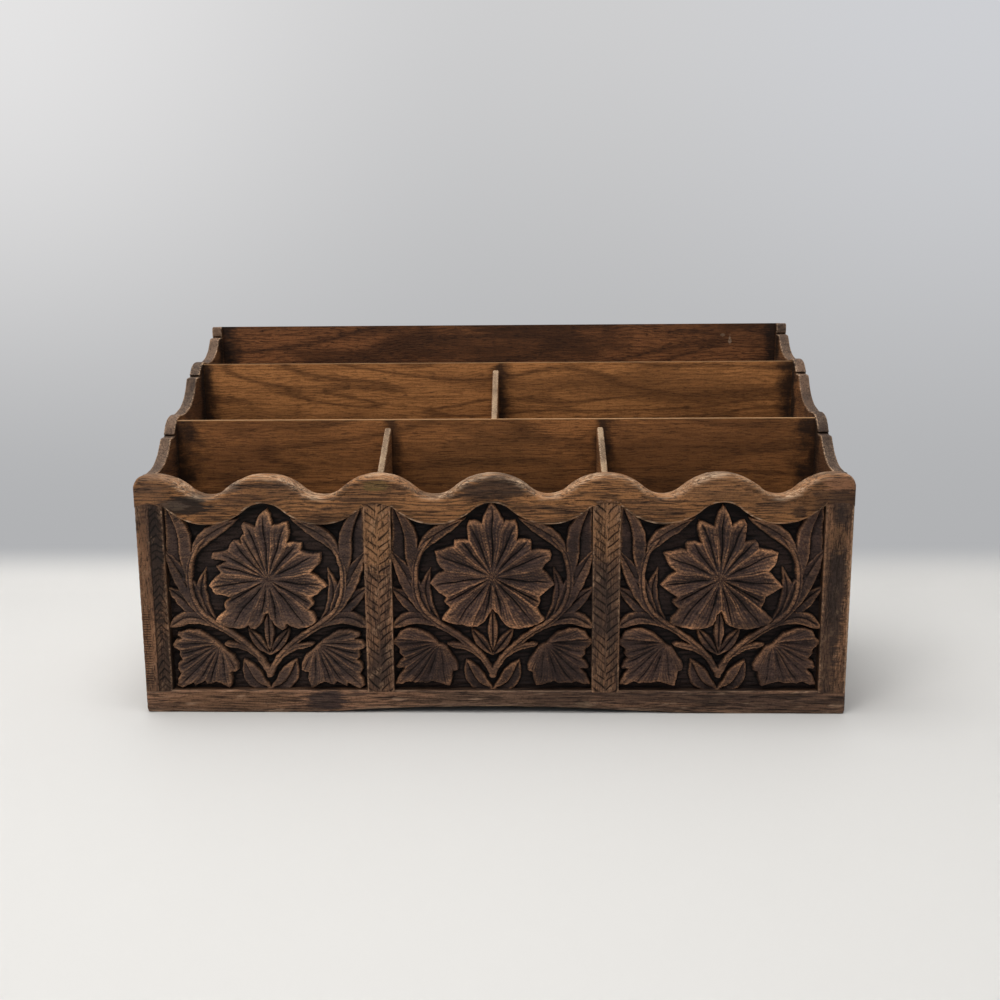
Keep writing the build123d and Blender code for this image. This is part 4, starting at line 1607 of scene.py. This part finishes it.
@dataclass
class EdgedBoard:
    """A board across X whose outline in Y and Z has rounded, worn arrises."""

    name: str
    replaces: str
    middle: float
    half: float
    line: np.ndarray
    arris: float
    slot: str
    spacing: float = 2.5
    least_gap: float = 1.2
    least_lean: float = 0.6
    chord_half: float = 1.5
    smooth_foot: float = 12.0
    smooth_rear: float = 126.0

    def outline(self) -> tuple[np.ndarray, np.ndarray, np.ndarray, np.ndarray]:
        """Points of the closed outline, with what its rounding needs.

        Points are added along the line at an even spacing, except close to its own.

        Returns:
            The points, the direction of the run after each, the mitre that draws each in by
            one, and how free each is to be rounded.
        """
        line = self.line
        step = np.linalg.norm(np.diff(line, axis=0), axis=1)
        place = np.concatenate([[0.0], np.cumsum(step)])
        extra = np.arange(0.0, place[-1], self.spacing)
        extra = extra[np.abs(extra[:, None] - place).min(axis=1) > self.least_gap]
        keep = np.sort(np.concatenate([extra, place]))
        outline = np.stack([np.interp(keep, place, line[:, k]) for k in (0, 1)], axis=1)
        ahead = np.roll(outline, -1, axis=0) - outline
        ahead /= np.linalg.norm(ahead, axis=1)[:, None]
        inward = np.stack([ahead[:, 1], -ahead[:, 0]], axis=1)
        before = np.roll(inward, 1, axis=0)
        lean = 1.0 + np.sum(inward * before, axis=1)[:, None]
        mitre = (inward + before) / np.maximum(lean, self.least_lean)
        after = np.minimum(keep + self.chord_half, keep[-1])
        behind = np.maximum(keep - self.chord_half, 0.0)
        ends = [[np.interp(at, place, line[:, k]) for k in (0, 1)] for at in (after, behind)]
        chord = np.hypot(*(np.array(ends[0]) - np.array(ends[1]))) / (after - behind)
        free = np.clip((chord - 0.45) / 0.4, 0.1, 1.0)[:, None]
        return outline, ahead, mitre, free

    def build(self, finish: bpy.types.Material) -> bpy.types.Object:
        """Carry the outline across X, drawn in near both faces.

        A point of the section is drawn in by r (1 - sin a) and stands r (1 - cos a) from its
        face, square to the outline, with a mitre at each corner. The rounding narrows where
        the outline folds, which the chord over a short run of it shows. The two faces are
        filled with triangles between the drawn-in outline's points.

        Args:
            finish: Material of the board.

        Returns:
            The piece.
        """
        outline, ahead, mitre, free = self.outline()
        turn = np.linspace(0.0, math.pi / 2, 5)
        inset = self.arris * (1.0 - np.sin(turn))
        across = self.arris * (1.0 - np.cos(turn))
        inset = np.concatenate([inset, [0.0], inset[::-1]])
        left, right = self.middle - self.half, self.middle + self.half
        x = np.concatenate([left + across, [self.middle], right - across[::-1]])
        rough = 0.12 + 0.12 * ripple(outline[:, :1], outline[:, 1:], 81, 9.0, 9.0)
        rough = rough * (outline[:, 1:] > self.smooth_foot) * (outline[:, :1] < self.smooth_rear)
        inset = (inset[None, :] + np.clip(rough, 0.0, 0.3)) * free
        y = outline[:, :1] + mitre[:, :1] * inset
        z = outline[:, 1:] + mitre[:, 1:] * inset
        points = np.stack([np.broadcast_to(x, y.shape), y, z], axis=-1).reshape(-1, 3)
        rows = len(x)
        start = np.arange(len(outline))[:, None] * rows + np.arange(rows - 1)[None, :]
        following = np.roll(start, -1, axis=0)
        quads = np.stack([start, start + 1, following + 1, following], axis=-1).reshape(-1, 4)
        flat = [Vector(pair) for pair in np.stack([y[:, 0], z[:, 0]], axis=1)]
        filled = delaunay_2d_cdt(flat, [], [list(range(len(flat)))], 1, 1e-6)
        origin = np.array([given[0] for given in filled[3]])
        near_face = origin[np.array(filled[2])] * rows
        far_face = near_face[:, ::-1] + rows - 1
        corners = points[near_face]
        run, rise = corners[:, 1] - corners[:, 0], corners[:, 2] - corners[:, 0]
        if np.cross(run, rise)[:, 0].sum() > 0.0:
            near_face, far_face = near_face[:, ::-1], far_face[:, ::-1]
        faces = quads.tolist() + near_face.tolist() + far_face.tolist()
        last = np.roll(ahead, 1, axis=0)
        bend = ahead[:, 0] * last[:, 1] - ahead[:, 1] * last[:, 0]
        # Dark in the outline's hollow bends and quirks: glaze with painted shade.
        hollow = np.clip(-bend * 1.5, 0.0, 0.7)[:, None] * np.ones(rows)
        profile = np.array([0.0, 0.5, 1.0, 0.8, 0.25, 0.15, 0.25, 0.8, 1.0, 0.5, 0.0])
        worn = profile[None, :] * (1.0 - hollow)
        masks = {"worn": worn, "hollow": hollow * (profile > 0.0)}
        return new_piece(self.name, points, faces, finish, masks, 42.0, (self.replaces,))


def edged_boards(finishes: dict[str, bpy.types.Material]) -> None:
    """Build and report the two sides and the three dividers.

    Args:
        finishes: Materials by the board that they belong to.
    """
    steps = side_line()
    front_top, middle_top, rear_top = 111.4, 133.5, 161.0
    pocket_rear, slot_front, slot_rear = 47.2, 50.2, 92.0
    short = divider_line(BOARDS_FRONT, front_top, pocket_rear, middle_top)
    deep = divider_line(slot_front, middle_top, slot_rear, rear_top)
    side_x, side_half, side_arris = 162.25, 2.75, 0.8
    divider_x, divider_half, divider_arris = 52.75, 1.6, 1.0
    sides = (("side_left", "left_side", -side_x), ("side_right", "right_side", side_x))
    dividers = (
        ("divider_middle", "middle_divider", 0.0, deep),
        ("divider_left", "front_divider_left", -divider_x, short),
        ("divider_right", "front_divider_right", divider_x, short),
    )
    boards = [
        (EdgedBoard(name, node, x, side_half, steps, side_arris, "case_wood"), "side")
        for name, node, x in sides
    ]
    boards += [
        (EdgedBoard(name, node, x, divider_half, line, divider_arris, "divider_wood"), "divider")
        for name, node, x, line in dividers
    ]
    for board, key in boards:
        piece = board.build(finishes[key])
        LOG.info("built %s with %d faces", piece.name, len(piece.data.polygons))


@dataclass(frozen=True)
class Studio:
    """A pale floor with a cove, soft lamps and the camera of the photograph."""

    camera_at: tuple[float, float, float] = (13.9, -427.5, 168.3)
    yaw: float = -1.334
    pitch: float = 8.822
    roll: float = -0.346
    focal: float = 34.2
    sensor: float = 36.0

    def build(self) -> None:
        """Build and report the camera, the lamps and the floor."""
        self.camera()
        self.lamps()
        self.floor()
        LOG.info("built the studio")

    def camera(self) -> None:
        """Place the camera from its yaw, pitch and roll."""
        yaw, pitch, roll = (math.radians(angle) for angle in (self.yaw, self.pitch, self.roll))
        ahead = Vector(
            (math.sin(yaw) * math.cos(pitch), math.cos(yaw) * math.cos(pitch), -math.sin(pitch))
        )
        level = Vector((math.cos(yaw), -math.sin(yaw), 0.0))
        upright = level.cross(ahead)
        right = math.cos(roll) * level + math.sin(roll) * upright
        up = -math.sin(roll) * level + math.cos(roll) * upright
        data = bpy.data.cameras.new("camera")
        data.sensor_width = self.sensor
        data.lens = self.focal
        data.clip_start = 0.01
        camera = linked("camera", data)
        turn = Matrix((right, up, -ahead)).transposed().to_4x4()
        x, y, z = self.camera_at
        place = Vector((x, y - HOLDER_DEPTH / 2, z)) * MM
        camera.matrix_world = Matrix.Translation(place) @ turn
        bpy.context.scene.camera = camera

    @staticmethod
    def lamp(
        name: str,
        at: tuple[float, float, float],
        size: tuple[float, float],
        power: float,
        colour: tuple[float, float, float],
    ) -> None:
        """A soft rectangular lamp that points at the holder.

        Args:
            name: Name of the lamp.
            at: Place in metres.
            size: Width and height in metres.
            power: Power in watts.
            colour: Linear colour.
        """
        data = bpy.data.lights.new(name, "AREA")
        data.shape = "RECTANGLE"
        data.size, data.size_y = size
        data.energy = power
        data.color = colour
        lamp = linked(name, data)
        lamp.location = at
        aim = Vector((0.0, 0.0, 0.08)) - Vector(at)
        lamp.rotation_euler = aim.to_track_quat("-Z", "Y").to_euler()

    def lamps(self) -> None:
        """A large lamp overhead, a weaker one at the front left, and an even world."""
        self.lamp("lamp_above", (-0.12, -0.12, 1.15), (1.0, 0.7), 12.6, (1.0, 0.985, 0.96))
        self.lamp("lamp_front", (-0.75, -0.95, 1.2), (0.45, 0.4), 5.2, (1.0, 0.96, 0.92))
        world = bpy.data.worlds.new("world")
        world.use_nodes = True
        tree = Tree(world.node_tree)
        light = world.node_tree.nodes["Background"]
        light.inputs["Color"].default_value = (0.9, 0.95, 1.0, 1.0)
        light.inputs["Strength"].default_value = 0.22
        pale = tree.add("Background", {"Color": srgb(206, 207, 208), "Strength": 1.0})
        mix = tree.shader(self.seen_directly(tree), light, pale)
        tree.link(mix.outputs[0], world.node_tree.nodes["World Output"].inputs["Surface"])
        bpy.context.scene.world = world

    @staticmethod
    def seen_directly(tree: Tree) -> Socket:
        """Tell the rays that show a background: camera, glossy and transmission rays.

        Args:
            tree: Writer of the tree.

        Returns:
            One for those rays and nought for the others.
        """
        path = tree.add("LightPath").outputs
        seen = tree.math("MAXIMUM", path["Is Camera Ray"], path["Is Glossy Ray"])
        return tree.math("MAXIMUM", seen, path["Is Transmission Ray"])

    def floor(self) -> None:
        """A floor that turns up into a wall behind the holder in one soft curve.

        The section is a level line, a quarter circle and an upright line, carried along X.
        """
        turn = np.linspace(0.0, math.pi / 2, 24)
        reach = 3.0
        radius = 0.12
        wall_y = 0.29
        y = np.concatenate([[-reach, -0.8], wall_y - radius + radius * np.sin(turn), [wall_y]])
        z = np.concatenate([[0.0, 0.0], radius - radius * np.cos(turn), [reach]])
        points = np.stack([np.repeat([-reach, reach], len(y)), np.tile(y, 2), np.tile(z, 2)], axis=1)
        mesh = bpy.data.meshes.new("floor")
        mesh.from_pydata(points, [], grid_quads(2, len(y)).tolist())
        mesh.polygons.foreach_set("use_smooth", np.ones(len(mesh.polygons), bool))
        mesh.materials.append(self.floor_finish())
        floor = linked("floor", mesh)

    def floor_finish(self) -> bpy.types.Material:
        """Pale floor, and a wall whose painted light runs from pale above to grey-blue below.

        The wall is clear from behind, so that it doesn't hide the holder's back.

        Returns:
            The material.
        """
        material, tree, shader = new_material("floor")
        shader.inputs["Base Color"].default_value = (0.67, 0.664, 0.652, 1.0)
        shader.inputs["Roughness"].default_value = 0.6
        place = tree.add("TexCoord").outputs["Object"]
        parts = tree.add("SeparateXYZ", {"Vector": place}).outputs
        # Painted light on the wall: darker near the cove, brighter above and towards the left, bluish at the
        # right; it glows for the rays that see it directly.
        height = tree.rise(parts["Z"], 0.02, 0.5)
        colour = tree.blend(height, srgb(177, 178, 180), srgb(207, 207, 208))
        left = tree.math("MULTIPLY", tree.rise(parts["X"], -0.42, 0.0, 1.0, 0.0), height)
        colour = tree.blend(tree.math("MULTIPLY", left, 0.9), colour, srgb(232, 231, 231))
        right = tree.math("MULTIPLY", tree.rise(parts["X"], 0.05, 0.36), height)
        colour = tree.blend(tree.math("MULTIPLY", right, 0.5), colour, srgb(206, 209, 216))
        painted_wall_light = tree.add("Emission", {"Color": colour, "Strength": 1.0})
        seen = self.seen_directly(tree)
        upright = tree.rise(parts["Z"], 0.0, 0.02)
        mix = tree.shader(tree.math("MULTIPLY", seen, upright), shader, painted_wall_light)
        rear = tree.add("NewGeometry").outputs["Backfacing"]
        whole = tree.shader(rear, mix, tree.add("BsdfTransparent"))
        tree.link(whole.outputs[0], material.node_tree.nodes["Material Output"].inputs["Surface"])
        return material


def front_stains() -> dict[str, Stain]:
    """The stains of the carved front.

    After its name, a stain has the tones of open wood, rings, pores, glaze and worn wood.

    Returns:
        Stains by the piece that they belong to.
    """
    ink = (15, 11, 9)
    smoke = (52, 42, 38)
    level = dict(carved=True, blotch_share=0.75, rings=6.0, wear_grit=(0.14, 0.8, 1.0), lengthen=0.5)
    relief = dict(
        carved=True, blotch_share=0.8, fibre_share=0.4, pore_share=0.3, bump=0.4, wear_share=1.0,
        specks=0.6, wear_least=0.4,
    )
    return {
        # The rim's worn tone also paints the highlight on its top rounding.
        "rim": Stain(
            "rim_wood", (162, 112, 70), (64, 46, 35), (28, 20, 17), ink, (226, 192, 158), **level,
            fibre_share=0.8, bump=0.45, specks=0.35,
            patches=(
                Patch((-141.0, 99.5), (12.0, 5.0), (38, 30, 25), 0.95),
                Patch((-146.0, 99.5), (6.0, 2.0), (108, 90, 76), 0.45),
                Patch((3.0, 107.5), (20.0, 6.0), (58, 44, 36), 0.85),
                Patch((106.0, 106.0), (24.0, 6.0), (134, 95, 64), 0.5),
                Patch((140.0, 100.0), (8.0, 7.0), (146, 100, 62), 0.5),
                Patch((-96.0, 107.0), (9.0, 4.0), (58, 46, 40), 0.4),
                Patch((160.0, 102.0), (7.0, 6.0), (62, 47, 39), 0.4),
                Patch((160.0, 109.0), (9.0, 4.0), (150, 106, 78), 0.7),
                Patch((-52.0, 108.5), (7.0, 2.6), (116, 98, 54), 0.5),
                Patch((-122.0, 108.5), (7.0, 4.0), (84, 74, 68), 0.6),
                Patch((-158.0, 104.0), (9.0, 9.0), (118, 88, 68), 0.35),
                Patch((-112.0, 102.0), (14.0, 5.0), (84, 60, 46), 0.4),
                Patch((140.0, 96.0), (4.0, 3.0), (44, 34, 29), 0.7),
            ),
        ),
        "rail": Stain(
            "rail_wood", (160, 118, 90), (70, 54, 46), (30, 22, 18), ink, (190, 156, 128), **level,
            fibre_share=0.85, bump=0.4, specks=0.4, glaze_and_shade_share=0.8,
            patches=(
                Patch((-79.0, 6.0), (10.0, 6.0), (60, 48, 46), 0.9),
                Patch((43.0, 4.0), (4.0, 2.0), (134, 110, 88), 0.6),
                Patch((-125.0, 6.0), (34.0, 6.0), (140, 102, 74), 0.5),
                Patch((100.0, 5.0), (50.0, 7.0), smoke, 0.15),
                Patch((-8.0, 6.0), (26.0, 6.0), (128, 98, 78), 0.5),
                Patch((122.0, 5.0), (16.0, 4.0), (112, 84, 70), 0.3),
            ),
        ),
        "stile": Stain(
            "stile_wood", (148, 107, 78), (70, 53, 44), (34, 25, 21), ink, (190, 152, 120),
            grain=Axis.Z, carved=True, blotch_share=0.8, fibre_share=0.6, rings=6.0, bump=0.35, specks=0.5,
            patches=(
                Patch((-52.7, 84.0), (8.0, 17.0), (166, 120, 82), 0.75),
                Patch((52.7, 86.0), (8.0, 13.0), (150, 108, 74), 0.7),
                Patch((-50.0, 22.0), (8.0, 12.0), smoke, 0.5),
                Patch((52.7, 36.0), (8.0, 40.0), smoke, 0.4),
                Patch((-156.0, 72.0), (3.2, 34.0), smoke, 0.8),
                Patch((-161.5, 60.0), (3.0, 40.0), (128, 92, 66), 0.5),
                Patch((158.5, 66.0), (3.8, 44.0), smoke, 0.85),
                Patch((155.0, 40.0), (4.0, 40.0), (66, 51, 44), 0.7),
                Patch((158.0, 84.0), (4.5, 7.0), (136, 98, 68), 0.6),
                # A pale strip down the outer right edge: a painted highlight on the rounded edge, with its
                # wear.
                Patch((164.3, 52.0), (0.9, 60.0), (186, 148, 116), 0.8),
            ),
        ),
        # The carvings' worn tone also paints the relief's highlights, and their glaze tone its shade.
        "carving": Stain(
            "carved_wood", (84, 64, 57), (54, 42, 39), (24, 18, 17), (11, 8, 8), (204, 148, 106),
            **relief,
        ),
        "carving_left": Stain(
            "carved_wood_left", (93, 73, 65), (57, 47, 45), (27, 21, 20), (12, 9, 8), (222, 164, 118),
            **relief,
        ),
    }


def board_stains() -> dict[str, Stain]:
    """The stains of the sides, the dividers and the boards that stay CAD nodes.

    Returns:
        Stains by the board that they belong to.
    """
    inner = dict(
        ring=(104, 66, 36), pore=(58, 36, 21), glaze=(36, 23, 16), worn=(190, 148, 106), specks=0.3,
        pore_share=0.6, ring_share=0.7, lengthen=0.7,
    )
    return {
        "front_partition": Stain(
            "front_partition_wood", (170, 112, 65), **inner,
            glaze_and_shade_bands=(
                Band(Axis.X, -159.5, 18.0, 0.95, 1.2),
                Band(Axis.X, 160.0, 17.0, 0.95, 1.2),
                Band(Axis.X, -51.0, 6.0, 0.8, 1.2),
                Band(Axis.X, 54.5, 8.0, 0.9, 1.2),
                # Darker towards the bottom of the pocket: painted shade.
                Band(Axis.Z, 70.0, 44.0, 0.6),
            ),
            # A pale line along the top edge: wear, and a painted highlight where the top catches the light.
            wear_and_highlight_bands=(Band(Axis.Z, 135.5, 0.6, 0.9, 0.3),),
            patches=(
                Patch((104.0, 118.0), (58.0, 26.0), (104, 66, 38), 0.45),
                Patch((4.0, 112.0), (42.0, 20.0), (106, 70, 40), 0.4),
                Patch((-128.0, 120.0), (20.0, 18.0), (96, 58, 36), 0.25),
            ),
        ),
        "rear_partition": Stain(
            "rear_partition_wood", (186, 125, 73), **inner,
            glaze_and_shade_bands=(
                Band(Axis.X, -159.0, 9.0, 0.95, 1.2),
                Band(Axis.X, 158.0, 9.0, 0.95, 1.2),
                Band(Axis.X, 3.0, 7.0, 0.9, 1.2),
            ),
            # A pale line along the top edge: wear, and a painted highlight where the top catches the light.
            wear_and_highlight_bands=(Band(Axis.Z, 163.0, 0.6, 0.9, 0.3),),
            patches=(Patch((90.0, 150.0), (60.0, 9.0), (112, 72, 40), 0.45),),
        ),
        "back_panel": Stain(
            "back_wood", (144, 92, 56), (72, 44, 27), (40, 25, 17), (26, 18, 14), (146, 112, 84),
            glaze_and_shade_bands=(
                Band(Axis.X, -159.5, 17.0, 0.9, 1.3),
                Band(Axis.X, 159.5, 16.0, 0.9, 1.3),
                Band(Axis.Z, 184.0, 8.0, 0.4),
            ),
            patches=(
                Patch((133.6, 174.5), (0.9, 2.6), (168, 142, 118), 0.7),
                Patch((129.5, 177.5), (1.2, 1.0), (150, 124, 100), 0.6),
                Patch((10.0, 172.0), (60.0, 12.0), (74, 47, 30), 0.6),
            ),
            specks=0.3, blotch_share=0.7, fibre_share=0.7, front_glaze=True, lengthen=0.8,
        ),
        "side": Stain(
            "side_wood", (134, 90, 56), (80, 54, 37), (42, 29, 22), (24, 17, 13), (192, 160, 130),
            grain=Axis.Y, edge_tone=(112, 88, 72), specks=0.5, blotch_share=0.8, carved=True, bump=0.35,
            wear_share=1.0,
            glaze_and_shade_bands=(
                Band(Axis.Y, -21.0, 9.0, 0.9, 1.2),
                Band(Axis.Y, 23.0, 9.0, 0.9, 1.2),
                Band(Axis.Y, 58.0, 8.0, 0.9, 1.2),
            ),
        ),
        "divider": Stain(
            "divider_wood", (140, 96, 60), (92, 62, 40), (84, 62, 46), (32, 22, 16), (190, 166, 138),
            grain=Axis.Y, edge_tone=(158, 132, 104), edge_dark=(112, 90, 70), pore_share=0.5, carved=True,
        ),
        "base_panel": Stain("base_wood", (158, 105, 58), **inner),
    }


def finishes() -> dict[str, bpy.types.Material]:
    """Build the finishes of the front's pieces and of the boards.

    Returns:
        Materials by the piece or board that they belong to.
    """
    groups = Groups(figure_group(), near_group(), patch_group())
    stains = front_stains() | board_stains()
    return {key: stain.build(groups) for key, stain in stains.items()}


def dress(node: str, finish: bpy.types.Material) -> None:
    """Give a CAD node that stays its finish.

    Args:
        node: Name of the node.
        finish: Its material.
    """
    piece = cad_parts[node]
    piece.data.materials.clear()
    piece.data.materials.append(finish)
    LOG.info("dressed %s", node)


def main() -> None:
    """Build the letter holder's pieces in order, then the studio."""
    logging.basicConfig(level=logging.INFO, format="%(name)s: %(message)s")
    wood = finishes()
    FrontPanel().build(wood)
    edged_boards(wood)
    for node in ("front_partition", "rear_partition", "back_panel", "base_panel"):
        dress(node, wood[node])
    Studio().build()
    bpy.context.scene.view_settings.view_transform = "Standard"


if __name__ == "__main__":
    main()
